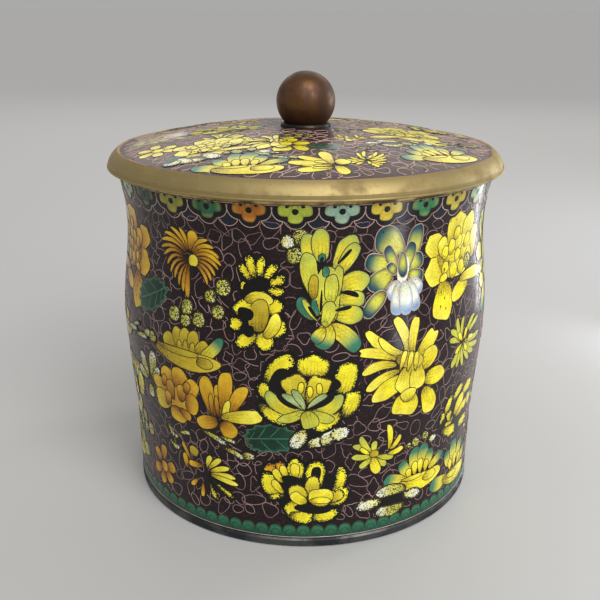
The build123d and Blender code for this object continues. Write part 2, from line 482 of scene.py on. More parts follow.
# ---------------------------------------------------------------- petals
@dataclass(frozen=True)
class Petal:
    """One enamel cell in flat mm: root, tip, width, bend to the left, width left at the root, tip notch,
    teeth all round and frills at the tip."""

    x0: float
    y0: float
    x1: float
    y1: float
    width: float
    bend: float = 0.0
    taper: float = 0.62
    notch: float = 0.0
    teeth: int = 0
    frill: int = 0

    def ring(self, scale: float, count: int) -> list[tuple[float, float, float, float, float]]:
        """Points of the outline shrunk by scale, as x, y, share of length, half width and mm across."""
        dx, dy = self.x1 - self.x0, self.y1 - self.y0
        length = math.hypot(dx, dy) or 1e-6
        nx, ny = -dy / length, dx / length
        points = []
        for i in range(count):
            turn = math.tau * i / count
            c, s = math.cos(turn), math.sin(turn)
            along = math.copysign(abs(c) ** 0.86, c)
            across = math.copysign(abs(s) ** 0.86, s)
            near = math.cos(turn / 2) ** 2
            rad = scale * (1 - self.notch * math.exp(-((math.atan2(s, c) / 0.42) ** 2)))
            rad *= 1 + 0.03 * math.sin(3 * turn + self.x0 * 3) + 0.022 * math.sin(5 * turn + self.y0 * 5)
            if self.frill:
                ripple = abs(math.cos(self.frill * turn / 2 + math.pi / 2 * (self.frill % 2)))
                rad *= 1 - 0.17 * near ** 2 * ripple
            if self.teeth:
                rad *= 1 - 0.13 * abs(math.sin(self.teeth * turn / 2))
            run = (1 + along * rad) / 2
            swell = 0.35 * near + 0.65 * min(1.0, run * 1.35)
            half = self.width / 2 * (self.taper + (1 - self.taper) * swell)
            slope = 4 * self.bend * (1 - 2 * run)
            bow = 4 * self.bend * run * (1 - run)
            tx, ty = dx + nx * slope, dy + ny * slope
            size = math.hypot(tx, ty) or 1e-6
            side = across * rad * half
            points.append((self.x0 + dx * run + nx * bow - ty / size * side,
                           self.y0 + dy * run + ny * bow + tx / size * side, run, half, side))
        return points

    def moved(self, move: Callable[[float, float], Point], grow: float, flip: bool) -> "Petal":
        """The petal after its ends are moved and its width is scaled."""
        (ax, ay), (bx, by) = move(self.x0, self.y0), move(self.x1, self.y1)
        sign = -1 if flip else 1
        return Petal(ax, ay, bx, by, self.width * grow, self.bend * grow * sign, self.taper,
                     self.notch, self.teeth, self.frill)

    def swollen(self, more: float) -> "Petal":
        """The petal with a margin all round."""
        dx, dy = self.x1 - self.x0, self.y1 - self.y0
        length = math.hypot(dx, dy) or 1e-6
        ux, uy = dx / length * more, dy / length * more
        return Petal(self.x0 - ux, self.y0 - uy, self.x1 + ux, self.y1 + uy,
                     self.width + 2 * more, self.bend, self.taper, self.notch, 0, self.frill)


@dataclass(frozen=True)
class Layer:
    """Petals of one paint, with wires round them or a black margin behind them."""

    paint: Paint
    petals: tuple[Petal, ...]
    wired: bool = True
    halo: float = 0.0


def layer(paint: Paint, *rows: tuple, wired: bool = True, halo: float = 0.0) -> Layer:
    """A layer from rows of x in degrees, y in mm, and the petal's other sizes in mm."""
    petals = tuple(Petal(r[0] * ARC, r[1], r[2] * ARC, r[3], *r[4:]) for r in rows)
    return Layer(paint, petals, wired, halo)


def ray_layer(paint: Paint, centre: Point, start: float, rays: Sequence[tuple], width: float,
              **more: object) -> Layer:
    """Narrow petals that leave a centre for the tips in rays, each x, y and an optional bend and width."""
    petals = []
    for ray in rays:
        x0, y0, x1, y1 = centre[0] * ARC, centre[1], ray[0] * ARC, ray[1]
        far = math.hypot(x1 - x0, y1 - y0)
        bend = ray[2] if len(ray) > 2 else 0.0
        wide = ray[3] if len(ray) > 3 else width
        root = (x0 + (x1 - x0) * start / far, y0 + (y1 - y0) * start / far)
        petals.append(Petal(*root, x1, y1, wide, bend, 0.5))
    return Layer(paint, tuple(petals), **more)


@dataclass(frozen=True)
class Flower:
    """A flower as layers, laid from the lowest to the highest, about its own centre."""

    name: str
    centre: Point
    layers: tuple[Layer, ...]

    def placed(self, x: float, y: float, turn: float = 0.0, flip: bool = False, grow: float = 1.0,
               paints: Optional[dict] = None) -> "Flower":
        """The flower moved so that its centre is at x, y in flat mm.

        Args:
            x: the centre's flat x.
            y: the centre's flat y.
            turn: turn in degrees.
            flip: mirrors it first.
            grow: its growth.
            paints: paints to use instead of its own.

        Returns:
            The flower in its place.
        """
        swap = paints or {}
        cx, cy = self.centre[0] * ARC, self.centre[1]
        c, s = math.cos(math.radians(turn)) * grow, math.sin(math.radians(turn)) * grow

        def move(px: float, py: float) -> Point:
            """A point of the flower in its new place."""
            u, v = (cx - px if flip else px - cx), py - cy
            return x + c * u - s * v, y + s * u + c * v

        layers = tuple(
            Layer(swap.get(one.paint, one.paint), tuple(p.moved(move, grow, flip) for p in one.petals),
                  one.wired, one.halo) for one in self.layers)
        return Flower(self.name, (x / ARC, y), layers)


P = Paint
PEONY = Flower("peony", (1, 56), (
    layer(P.BLACK, (0.5, 46.5, 0.5, 66.5, 21.5, 0, 0.9), wired=False),
    layer(P.EDGED, (2.3, 63.2, 2.6, 70.8, 11.0, 0, 0.9, 0, 0, 5),
          (-9.8, 60.6, -1.6, 69.8, 5.6, 1.9, 0.9, 0, 0, 4),
          (9.8, 56.6, 11.8, 68.6, 8.0, -0.6, 0.8, 0, 0, 4), (11.0, 48.6, 13.4, 58.8, 6.0, -1.0, 0.8, 0, 0, 4),
          (-9.6, 54.6, -11.4, 60.8, 4.8, 0, 0.9), (-12, 53.6, -4.4, 47.2, 4.4, -1.2, 0.9),
          (10, 51, 2.2, 45.2, 5.2, 1.0, 0.9), wired=False, halo=0.9),
    layer(P.BLACK, (-8.4, 56, -4.4, 65.8, 5.4, 1.0), (3.6, 62.4, 9.0, 58.6, 5.6, 0.8),
          (9.8, 57.6, 8.6, 50, 3.8, -1),
          (-9.6, 58, -8.4, 51, 3.0, 1), wired=False),
    layer(P.LOBE, (0.4, 53.5, -4.2, 64.4, 9.6, 0, 0.5, 0, 0, 4),
          (1.2, 53.5, 5.4, 64.0, 8.6, 0, 0.5, 0, 0, 4)),
    layer(P.GREENISH, (0.2, 50.8, -9.8, 57.8, 5.4, 2.4, 0.6), (1.2, 50.8, 9.8, 57.2, 5.2, -2.6, 0.6)),
    layer(P.BLACK, (-1.0, 52.4, -7.2, 58.4, 3.5, 0.9, 0.6),
          (2.0, 52.8, 8.0, 57.8, 3.5, -0.7, 0.6), wired=False),
    layer(P.PALE, (0.2, 51.8, -5.8, 57.2, 2.7, -0.3, 0.5), (0.9, 52.4, 6.2, 57.2, 2.5, 0.4, 0.5),
          (0.3, 51.8, -3.0, 58.8, 3.0, -0.3, 0.5)),
    layer(P.LIME, (0.4, 51.5, -7.4, 47.8, 4.2, 0.7, 0.6, 0, 0, 3),
          (1.0, 51.5, 8.6, 48.2, 4.6, -0.8, 0.6, 0, 0, 3),
          (0.6, 51.5, 2.4, 44.8, 6.8, 0, 0.6, 0, 0, 4)),
    layer(P.YELLOW, (-0.9, 57.6, -0.7, 61.6, 1.9, 0, 0.9), (1.6, 56.2, 1.6, 60.2, 1.9, 0, 0.9),
          (4.2, 57.2, 4.0, 61.2, 1.9, 0, 0.9)),
))
WAVY = Flower("wavy_leaves", (4, 41), (
    layer(P.BLACK, (0, 42.6, 8, 43.6, 4.6, -0.8), (3, 40.5, 8, 40, 3.4), wired=False),
    layer(P.SNOW, (-0.2, 44.8, -4.0, 37.4, 5.6, 0.8, 0.8, 0, 0, 3),
          (0.8, 38.2, 8.6, 39.6, 4.6, 1.1, 0.8, 0, 0, 3),
          (5.4, 38.2, 9.2, 45.2, 5.2, 0.6, 0.8),
          (7.6, 41.4, 13.2, 43.4, 5.4, 0.3, 0.9, 0, 0, 3), wired=False, halo=0.3),
))
CHRYSANTHEMUM = Flower("chrysanthemum", (29, 64), (
    layer(P.SUN, (27.6, 67, 16.4, 78, 3.7, 1.2, 0.7, 0.12), (29, 68, 24.6, 80.8, 3.8, -1.5, 0.8, 0.1),
          (31, 67, 32.8, 80.2, 3.7, 1.0, 0.8, 0.14), (26.6, 66.4, 13.8, 70.2, 3.9, -1.3, 0.7, 0.2),
          (26, 64.6, 15.8, 63, 3.6, -1.6, 0.7), (27, 62.4, 17.4, 56.6, 3.7, -1.5, 0.7),
          (32.4, 66.4, 39.4, 74.6, 5.6, -0.8, 0.8, 0.26), (28.4, 68, 20.4, 74.6, 3.0, 1.2, 0.7)),
    layer(P.YELLOW, (34.6, 62, 38.0, 68.6, 6.4, -1.2, 0.9), (30, 59.6, 19.2, 53, 7.6, -0.8, 0.7, 0, 0, 3),
          (36, 57.2, 44.6, 57.4, 7.4, 0, 0.8, 0, 0, 3), (36.2, 54, 40, 43.6, 7.2, 0.6, 0.7),
          (31, 54, 29.2, 45.2, 11.4, 0, 0.85, 0, 0, 4)),
    layer(P.SUN, (29.4, 64, 27.4, 54.6, 6.6, 0.6, 0.7), (33.0, 64, 34.4, 54.4, 7.0, -0.6, 0.7),
          (31.0, 50.6, 30.2, 55.4, 6.4, 0, 0.8)),
    layer(P.HUB, (25.6, 66.6, 34.6, 63.4, 6.0, 0.5, 0.8)),
    layer(P.SUN, (27.0, 62.6, 28.6, 69.2, 2.2), (29.6, 61.6, 30.8, 68.6, 2.2), (32.2, 61.2, 32.4, 68, 2.2)),
))
ORCHID = Flower("orchid", (6, 91), (
    layer(P.BLACK, (2, 80, 3, 104, 8), (10, 86, 15, 90, 8), (3.5, 99, 5.5, 104, 5), wired=False),
    layer(P.GREENISH, (1.6, 98, 0.8, 108.4, 5.6, 0, 0.8), (4.4, 99.4, 4.0, 109.8, 6.0, 0, 0.8),
          (8.2, 96, 12.4, 107.6, 7.6, -0.8, 0.7), (9.4, 95, 14.6, 104.4, 5.6, 0.8, 0.6),
          (9.6, 90.6, 17.6, 92.6, 7.4, 1.2, 0.8), (8.6, 87.4, 16.4, 87, 5.4, 0.6, 0.8),
          (7.6, 83.4, 15.6, 82, 6.4, 0.4, 0.8)),
    layer(P.TEAL_TIP, (6.4, 80, 14.4, 71.4, 6.2, 0.9, 0.7), (6.4, 80.4, 4.6, 72.4, 6.4, 0, 0.8),
          (5.2, 79, 2.4, 74.6, 4.2, 0, 0.8)),
    layer(P.TEAL_ALL, (2.8, 82, -1.6, 88.4, 4.2, 0.4, 0.8), (3.6, 83, 3.2, 88.8, 3.8, 0, 0.8)),
    layer(P.LIME, (3.4, 81.4, -0.4, 88.2, 1.9, 0.4, 0.6), (3.2, 88, 0.8, 102.6, 5.8, 0.8, 0.7),
          (6.6, 80.6, 6.0, 98, 8.6, 0, 0.7), (9.2, 89, 9.6, 98, 3.4, 0.6)),
    layer(P.OLIVE, (2.4, 88, 2.6, 95.4, 3.2, 0.2, 0.8)),
    layer(P.LIME, (6.6, 86.2, 7.2, 95.6, 4.6, -0.3, 0.8), (5.2, 79.6, 6.8, 87.4, 4.6, -0.4, 0.8)),
    layer(P.TEAL_ALL, (4.6, 99.6, 4.6, 102, 2.2, 0, 1), (5.6, 94.8, 5.6, 98, 2.2, 0, 1)),
    layer(P.BLACK, (8.8, 98.6, 12.6, 103.2, 1.3), (9.8, 89.8, 14.6, 88.4, 1.9, 0.5),
          (8.0, 84.4, 12.6, 85.4, 1.4),
          (4.2, 99.2, 4.8, 101, 1.2), (3.4, 81.8, 1.0, 86, 1.2), (4.6, 91, 4.2, 84, 0.9), wired=False),
))
IRIS = Flower("iris", (27, 94), (
    layer(P.BLUE_EDGED, (27, 99.6, 19.4, 107.4, 9.4, -0.8, 0.8), (30.4, 97.6, 32.2, 109, 6.2, -0.5, 0.8),
          (25, 97.6, 16.6, 99.6, 6.6, 0.9, 0.8), (25, 94.6, 18.2, 89.6, 7.0, -0.8, 0.8),
          (22.6, 89, 16.4, 81.6, 5.2, -0.5, 0.8), (29.4, 95.6, 34.8, 98.4, 5.6, 0, 0.8),
          (29.4, 93.6, 34.8, 91.6, 5.0, 0, 0.8)),
    layer(P.BLUE_EDGED, (26.6, 95, 22.6, 103.2, 4.2, 0.4, 0.7), (27.8, 94, 31, 103.6, 4.8, -0.4, 0.7),
          (25.8, 94, 23.2, 97.6, 3.4, 0, 0.8)),
    layer(P.WHITE, (27.4, 90, 28.4, 99.4, 4.8, 0, 0.7), wired=False),
    layer(P.BLUE_EDGED, (27.6, 101, 27.8, 92.6, 3.8, 0.2, 0.7)),
    # The lower petals in white and blue: painted reflection of a bright window light.
    layer(P.WHITE_BLUE, (26, 92, 23.6, 86.4, 4.8, 0.4, 0.8), (30.6, 92, 33.8, 87, 4.8, 0, 0.8)),
    layer(P.WHITE_BLUE, (26.6, 91.4, 25.4, 81.2, 5.6, 0.4, 0.8), (30.0, 91.4, 32.2, 81.8, 5.6, -0.4, 0.8),
          (28.4, 91.6, 28.8, 80.8, 5.4, 0, 0.8)),
))
BIG_PEONY = Flower("big_peony", (48, 94), (
    layer(P.SUN, (49, 98.6, 49.2, 110.4, 12.2, 0, 0.8, 0, 0, 7),
          (54.6, 97.6, 56.6, 109.4, 9.4, -0.6, 0.8, 0, 0, 5),
          (58.4, 93, 61.4, 103.6, 7.4, -0.8, 0.8), (43.6, 97.6, 36.8, 104.4, 8.8, 0.8, 0.8, 0, 0, 5),
          (44.4, 93.4, 35.4, 92.2, 10.2, 0.6, 0.8, 0, 0, 5)),
    layer(P.SUN, (40.6, 95.4, 57.6, 95.6, 14, 0, 0.9), wired=False),
    layer(P.YELLOW, (43.6, 88.4, 40.6, 75.2, 10.4, 0.6, 0.8, 0, 0, 4), (56, 85.6, 46.8, 81.2, 5.8, -0.8, 0.8),
          (51, 87.2, 66.6, 86.2, 4.4, 0.7, 0.8)),
    layer(P.SUN, (43.4, 96, 42.4, 103, 5.2, 0, 0.8), (47.4, 98, 52.6, 100.6, 4.4, 0.6, 0.8),
          (51.4, 94, 56.6, 98, 4.8, 0.4, 0.8)),
    layer(P.YELLOW, (43.2, 95.4, 44.8, 99.6, 4.0), (46.2, 96.4, 47.6, 101.4, 4.2),
          (42.6, 91, 45.2, 94.2, 3.8),
          (46.6, 88.6, 48.8, 93.4, 4.8), (50.4, 89.4, 53.4, 93.2, 4.4), (48.8, 94, 51.2, 97.4, 3.6),
          (53.8, 97.4, 57.4, 101.4, 4.4), (54.4, 93, 58.4, 96.4, 4.0), (48.4, 101, 50.2, 105, 4.2),
          (41.2, 88.8, 44.8, 90.2, 2.8)),
    layer(P.BUD, (54.4, 90.4, 57.4, 94.4, 4.6, 0, 0.9)),
    layer(P.BLACK, (45.6, 92.6, 45.8, 94.8, 0.8), (43.4, 91.4, 43.6, 92.8, 0.7), (41.4, 80, 41.5, 81, 0.5),
          (43.2, 82.4, 43.3, 83.4, 0.5), (41.8, 84.6, 41.9, 85.6, 0.5),
          (43.6, 79, 43.7, 79.8, 0.5), wired=False),
))
SPIDER = Flower("spider", (54, 65), (
    ray_layer(P.LIME, (52, 65), 1.2, ((45.4, 67.6, -0.5), (45.8, 71, -0.7), (49.4, 74.6, 0.8), (53, 74, 0.9),
              (47.4, 57.4, 0.6, 3.4), (50.4, 56.4, 0.5), (54.6, 55.8, -0.4), (58.6, 56.8, -0.6),
              (62, 58.4, -0.8),
              (65.6, 60.6, -1), (66, 64.4, -0.6), (64.4, 70.4, 0.8), (60.4, 72.6, 0.8)), 2.5),
    ray_layer(P.YELLOW, (53, 65), 0.8, ((49, 62), (56, 61), (60, 64.6, 0.4), (55, 69.6), (50, 69)), 2.3),
    layer(P.BLACK, (55.4, 64.6, 56.4, 68.4, 2.2), wired=False),
))
PALM = Flower("palm", (-33, 98), (
    ray_layer(P.DEEP_AMBER, (-34, 97.6), 2.0, ((-45.6, 98.6, -2.0), (-44.4, 96.2, -2.2), (-42.8, 93.4, -2.2),
              (-41.2, 91.2, -1.9), (-39.4, 89.8, -1.5), (-37.6, 88, -1.2), (-35.8, 86.4, -0.9, 2.0),
              (-34.0, 84.6, -0.6, 2.4),
              (-24.2, 95.2, 1.9), (-25.2, 93, 1.8), (-26.4, 91.4, 1.5), (-27.6, 90.0, 1.2)), 1.5),
    ray_layer(P.AMBER, (-33.8, 98.4), 1.4, ((-45, 101.4, -1.8), (-43.6, 104, -1.6), (-40.6, 106.2, -1.2),
              (-37.2, 106.6, -0.8), (-32, 106.4, 0, 4.6), (-27.4, 104, 1.4), (-25.6, 101.8, 1.6),
              (-24.0, 99, 1.9),
              (-23.4, 96.6, 2.1)), 1.8),
    layer(P.SUN, (-34.2, 96.8, -30.8, 96.8, 3.8, 0, 1)),
))
SUNBURST = Flower("sunburst", (-12, 86), (
    layer(P.BLACK, (-12, 84, -12, 95, 13, 0, 0.9), (-12, 73.6, -12, 88, 16.4, 0, 0.9), wired=False),
    ray_layer(P.EDGED, (-13, 90.4), 2.6, ((-17.8, 98, 0, 3.2), (-15.4, 101, 0, 3.6), (-11.4, 100.8, 0, 3.4),
              (-7.6, 98.8, 0, 3.2), (-5.0, 94.6, 0, 3.4), (-5.4, 90, 0, 3.2), (-17.6, 91.4, 0, 3.0)), 3.2,
              wired=False, halo=0.5),
    layer(P.BLACK, (-16.4, 89.4, -9.2, 92.4, 6.0, 0.4, 0.9), wired=False),
    layer(P.EDGED, (-13.2, 87.6, -20, 83.6, 5.0, 0.8, 0.8, 0, 0, 3), (-16.4, 79, -20.4, 79.2, 4.4, 0, 0.8),
          (-13.0, 77, -18.8, 72.8, 5.0, 0.6, 0.9, 0, 0, 3), (-11.6, 77.4, -9.4, 71.6, 6.0, 0, 0.9, 0, 0, 3),
          (-9.4, 79.6, -4.8, 78, 6.6, 0, 0.9, 0, 0, 3), (-10.0, 83.6, -6.0, 86.8, 4.8, 0, 0.8),
          (-12.6, 86, -10, 89.6, 5.4, 0, 0.9, 0, 0, 3), wired=False, halo=0.6),
    layer(P.SUN, (-16.2, 86.6, -8.6, 86.6, 4.2, 1.4, 0.8), (-10.8, 75.8, -7.6, 83.4, 4.2, -1.2, 0.8)),
    layer(P.OLIVE, (-12.4, 77.2, -11.2, 87.4, 6.4, 0.5, 0.9)),
    layer(P.BLACK, (-18.2, 83.4, -14, 81.4, 4.6, 0.4), (-17.2, 78.4, -13.4, 76.8, 4.2), wired=False),
))
LOTUS = Flower("lotus", (-35, 67), (
    layer(P.OLIVE, (-38, 66, -42.4, 71.4, 6.4, 0.6, 0.7), (-36.4, 67, -38.4, 74.2, 4.8, 0, 0.8),
          (-34.4, 67, -35, 74.6, 5.0, 0, 0.8), (-32.6, 67, -31.4, 74.4, 4.8, 0, 0.8),
          (-31, 66.6, -27.4, 71.4, 4.4, 0, 0.8)),
    layer(P.TEAL_TIP, (-29.4, 66, -22.6, 73.6, 4.2, -0.7, 0.8)),
    layer(P.OLIVE, (-36.6, 64.6, -37, 70.2, 2.3), (-34.6, 64.6, -34.6, 70.6, 2.3),
          (-32.6, 64.6, -32, 70.4, 2.3)),
    layer(P.GOLDEN, (-47, 65.8, -23.2, 65.4, 6.8, -2.2, 0.8)),
    layer(P.OLIVE, (-46.6, 66.6, -30, 66.4, 2.6, -0.4, 0.8), (-31, 64.6, -25.6, 64.4, 4.0, -0.3, 0.9)),
))
LILY = Flower("lily", (-24, 50), (
    layer(P.AMBER, (-26.4, 45.6, -28.4, 60, 5.8, 0.6, 0.6), (-24.4, 46, -24.4, 58, 3.4, 0, 0.6),
          (-22.8, 47, -21.2, 63.4, 5.4, 0.4, 0.7, 0.08), (-21.4, 47, -15.8, 58.4, 5.0, 0.6, 0.6)),
    layer(P.SUN, (-23.6, 45.6, -21.2, 52.6, 2.6), (-24, 45.8, -11.2, 48, 5.8, 0.5, 0.6, 0.06)),
    layer(P.AMBER, (-25.4, 44.6, -32.6, 42, 5.6, 0.5, 0.8), (-23.8, 44.4, -20.2, 39.4, 6.6, 0, 0.8)),
    layer(P.DEEP_AMBER, (-26.8, 45.6, -27, 54, 2.0), (-25, 45.8, -25.2, 53.6, 1.9)),
))
AMBER_ROSE = Flower("amber_rose", (-41, 50), (
    layer(P.AMBER, (-47, 49.4, -34, 49.4, 13.4, 0, 0.9), wired=False),
    layer(P.AMBER, (-40, 52, -44.6, 58.4, 7.4, 0.6, 0.8), (-38.6, 52, -37.6, 60, 7.6, 0, 0.8),
          (-36.4, 50, -31.8, 56.6, 6.6, 0, 0.8), (-42, 50, -50.6, 52.6, 6.4, 0.6, 0.8)),
    layer(P.GOLDEN, (-43, 47.4, -50.4, 45, 8.2, 0.5, 0.8)),
    layer(P.AMBER, (-36.6, 48, -31.6, 47.6, 8.2, 0, 0.9), (-40, 45, -40.4, 39, 8.4, 0, 0.8)),
    layer(P.DEEP_AMBER, (-41.6, 47, -42.2, 54.4, 4.4, 0.4), (-38.4, 47.4, -37.8, 54, 4.6, -0.4),
          (-39.4, 44.4, -34.8, 42, 3.8), (-44.6, 44, -43.6, 49.6, 3.6), (-36.4, 51.4, -34.6, 55.6, 3.2),
          (-45.6, 50.8, -44.4, 55.4, 3.0)),
))
SPECKLED = Flower("speckled_rose", (1, 22), (
    layer(P.BLACK, (0, 12, 0.6, 30.4, 20, 0, 0.9), wired=False),
    layer(P.ORANGE, (-8.2, 24, -9.4, 31.6, 5.0, 0.6, 0.9),
          (-5.2, 26, -7.2, 32.2, 4.4, 0, 0.9), wired=False, halo=0.7),
    layer(P.EDGED, (-6.6, 18.8, -10.6, 28, 5.8, 1.4, 0.8), (-1.8, 25.4, -2.2, 33.8, 6.2, 0.3, 0.9, 0, 0, 3),
          (-5.6, 19.6, -10.6, 18.8, 2.6), wired=False, halo=0.7),
    layer(P.YELLOW, (-6.2, 24.6, -8.4, 29.6, 2.8, 0.3, 0.7), (-4.6, 26.6, -6.2, 31.0, 2.7, 0.3, 0.7),
          (-2.2, 26.4, -2.4, 32.0, 3.4, 0.2, 0.7), (-5.8, 20.6, -8.8, 25.4, 2.8, 0.5, 0.7)),
    layer(P.EDGED, (3.0, 21.6, 3.8, 33.0, 6.8, 0, 0.9), (8.4, 20.6, 10.2, 30, 4.2, -2.0, 0.8),
          (7.4, 16.2, 13.6, 20.6, 7.2, 0.7, 0.8, 0, 0, 3), (-2.4, 18.0, -4.4, 11.6, 7.4, 0.8, 0.9, 0, 0, 3),
          (-4.2, 12.8, 3.2, 11.8, 4.8, -0.7, 0.9),
          (2.2, 11.8, 10.2, 13.8, 4.4, -1.0, 0.9), wired=False, halo=0.6),
    layer(P.BLACK, (3.2, 24.6, 3.9, 30.8, 3.4, 0, 0.9), (-6.4, 26.4, -0.4, 22.8, 5.0, 0.5),
          (-4.6, 20, -2.6, 25, 3.4),
          (-2.6, 15.6, 8.2, 14.6, 4.0, -0.3, 0.9), (7.0, 22, 8.4, 27.6, 2.8), wired=False),
    layer(P.LOBE, (2.4, 19.6, 2.8, 27.2, 5.4, 0, 0.9), (0.4, 17, -2.6, 23.8, 6.4, 0.4, 0.8),
          (7.6, 17, 12, 20.2, 4.6, 0.4)),
    layer(P.YELLOW, (1.0, 17.4, -3.4, 20.8, 4.2, 0.5, 0.8), (5.0, 15.8, 5.2, 22.4, 8.6, 0, 0.9),
          (1.8, 17.6, 8.0, 17.4, 2.6, 0.6, 0.8)),
))
SMALL_SPIDER = Flower("small_spider", (20, 34), (
    ray_layer(P.LIME, (21, 32.6), 0.8, ((14.2, 37.4, -0.6), (16.4, 40.6, 0.6), (14.0, 33.4, 0.4),
          (16.4, 29, 0.3),
              (25.2, 28.2, -0.3), (27.6, 31.0, -0.4), (21, 38.2, 0.3)), 2.7),
    layer(P.YELLOW, (20.4, 32, 22.4, 25.6, 4.0, 0, 0.7), (25.6, 34, 24.8, 43.6, 2.4, -0.8, 0.7),
          (26, 33.8, 29.4, 38.6, 2.2, -0.6, 0.7), (25.4, 32.2, 30.8, 33.6, 2.4, -0.4, 0.7),
          (19.4, 33.4, 16.4, 36.2, 1.9)),
    layer(P.OLIVE, (19.4, 33.6, 22.4, 33.2, 2.6, 0, 1)),
))
TEAL_LOTUS = Flower("teal_lotus", (38, 22), (
    layer(P.TEAL_TIP, (34.4, 21, 30.6, 27.6, 4.6, 0.4, 0.8), (36, 22, 35.6, 31.6, 5.6, 0, 0.8),
          (39, 22, 39.4, 31.8, 5.8, 0, 0.8), (41, 22, 43, 28.4, 4.4, 0, 0.8),
          (42.4, 20.6, 49.4, 24.4, 3.8, 0.5, 0.8),
          (33, 20, 24.8, 22.4, 5.4, 0.4, 0.8)),
    layer(P.YELLOW, (34.2, 20.2, 33.4, 24, 2.8), (36.2, 20.6, 35.8, 26, 3.0), (38.4, 20.6, 38.2, 26.4, 3.0),
          (40.6, 20.4, 41, 25, 2.8)),
    layer(P.YELLOW, (30, 19.6, 48.4, 18.6, 6.6, -1.8, 0.8)),
    layer(P.SUN, (39.8, 18.4, 45.8, 18.6, 3.9, -0.4, 0.9), (31, 20.2, 39.4, 20, 1.9, -0.2, 0.8)),
    layer(P.BUD, (34.6, 32.4, 36.6, 34.8, 4.0, 0, 1), (38.2, 34, 40.6, 35.6, 3.6, 0, 1),
          (33.6, 32, 32.4, 34, 2.8)),
    layer(P.SNOW, (41.2, 32.4, 44.6, 32.4, 3.4, 0, 1), wired=False),
))
FAR_LOTUS = Flower("far_lotus", (56, 16), (
    layer(P.TEAL_TIP, (54, 16, 52, 23, 5.2), (57, 16, 56.4, 26, 6.6), (60, 16.4, 63.6, 23.6, 6.2),
          (62, 14, 69, 17.6, 5.0), (53, 12.6, 43.6, 13.2, 6.2, 0.8, 0.8)),
    layer(P.YELLOW, (55.4, 14, 54.6, 18.6, 3.2), (58, 14, 58.4, 19.6, 3.4), (60.6, 13.4, 63, 17.6, 3.2)),
    layer(P.SUN, (50.6, 12.4, 68, 11, 6.4, -1.4, 0.8)),
    layer(P.YELLOW, (53, 12.6, 60, 11.6, 2.6, -0.3, 0.8)),
))
CROSS = Flower("speckled_cross", (27.6, 13.6), (
    layer(P.BLACK, (27.8, 9.4, 27.8, 17.6, 15, 0, 1), wired=False),
    layer(P.SPRIG, (33, 16.6, 21.6, 17.0, 4.6, -1.1, 0.9), (32.6, 11, 21.8, 11.0, 4.4, 1.1, 0.9)),
    layer(P.SNOW, (24.0, 15.0, 15.4, 14.4, 4.6, 0.6, 0.8), (31.6, 14.0, 39.0, 12.6, 4.4, 0.6, 0.8)),
    layer(P.BLACK, (24.4, 13.6, 30.8, 13.8, 2.3, 0, 1), wired=False),
))
LEAF = Flower("leaf", (-9.5, 40.5), (
    layer(P.LEAF, (-17.8, 39, -1.2, 41, 11.6, 0.6, 0.9, 0, 13), wired=False, halo=0.0),
    layer(P.TEAL_ALL, (-17.2, 39.4, -2.2, 41, 0.5, 0.4), (-13, 40.2, -10.6, 44.8, 0.35),
          (-9.6, 41, -6.6, 45, 0.35),
          (-12.4, 39.6, -9, 35.6, 0.35), (-8, 40.6, -4.6, 36.8, 0.35),
          (-15.4, 39.8, -13.8, 42.8, 0.3), wired=False),
))
FAN = Flower("fan", (-29, 22), (
    layer(P.BLACK, (-30, 20, -23, 23, 8, 0, 0.8), wired=False),
    ray_layer(P.SUN, (-31, 23), 2.2, ((-28.6, 30, 0.3), (-25, 29.6, 0.5), (-22.4, 26.8, 0.5),
          (-20.6, 23.6, 0.4),
              (-19.8, 21.2, 0.2)), 2.5, halo=0.2),
    ray_layer(P.EDGED, (-31, 22.6), 3.6, ((-20.8, 16, -0.3, 2.2),
          (-26.8, 13.4, -0.3, 2.1)), 2.2, wired=False, halo=0.3),
    ray_layer(P.AMBER, (-32, 22), 3.4, ((-32.4, 13, 0, 2.0), (-36.8, 16, 0, 2.2)), 2.0),
    layer(P.AMBER, (-32, 25, -37.6, 24.4, 2.8), (-38.4, 22, -39.2, 27.6, 2.8),
          (-36.6, 25.6, -39.8, 31.6, 1.9)),
    layer(P.OLIVE, (-35.6, 27.8, -34.6, 31.6, 4.0, 0, 1)),
))
SPRIG = Flower("sprig", (-42, 33), (
    layer(P.SPRIG, (-46.6, 36.4, -43.4, 31.6, 2.4, 0.5), (-46.4, 30.4, -40.8, 28.2, 2.4, -0.5),
          (-41, 34.6, -35.4, 36, 2.2, 0.4), (-43.4, 31.8, -41.6, 33.4, 2.0)),
))
BUDS = Flower("buds", (-34, 80), (
    layer(P.BUD, (-36.4, 81.6, -32.2, 81.8, 5.2, 0, 1), (-41.2, 78.4, -36.8, 78.6, 5.2, 0, 1),
          (-32.2, 78.4, -28.0, 78.4, 5.0, 0, 1), (-36.6, 77.2, -32.8, 77.2, 4.2, 0, 1), halo=0.2),
))
TWO_BUDS = Flower("two_buds", (-24.6, 88.6), (
    layer(P.BUD, (-25.0, 89.6, -20.4, 90, 5.4, 0, 1), (-28.4, 86.6, -24.6, 86.6, 4.4, 0, 1),
          (-26, 81.8, -22, 82.2, 4.6, 0, 1),
          halo=0.2),
))
SNOW_BUDS = Flower("snow_buds", (-3.5, 105), (
    layer(P.BUD, (-5.0, 101.2, -0.4, 101.6, 5.2, 0, 1), (-3.0, 105.8, 0.8, 108.4, 5.2, 0, 1), halo=0.2),
    layer(P.SNOW, (-6.4, 105.4, -2.6, 105.6, 4.6, 0, 1), halo=0.2),
))
SLENDER = Flower("slender_leaves", (-24, 36), (
    layer(P.SPRIG, (-31.6, 39.4, -22.4, 35.6, 2.6, 0.5), (-25.6, 38.4, -19.4, 37, 1.9, 0.3),
          (-24.6, 34.8, -16.8, 31.2, 2.4, 0.5), (-18, 33.4, -14.2, 32.8, 3.0, 0, 0.9), halo=0.2),
))
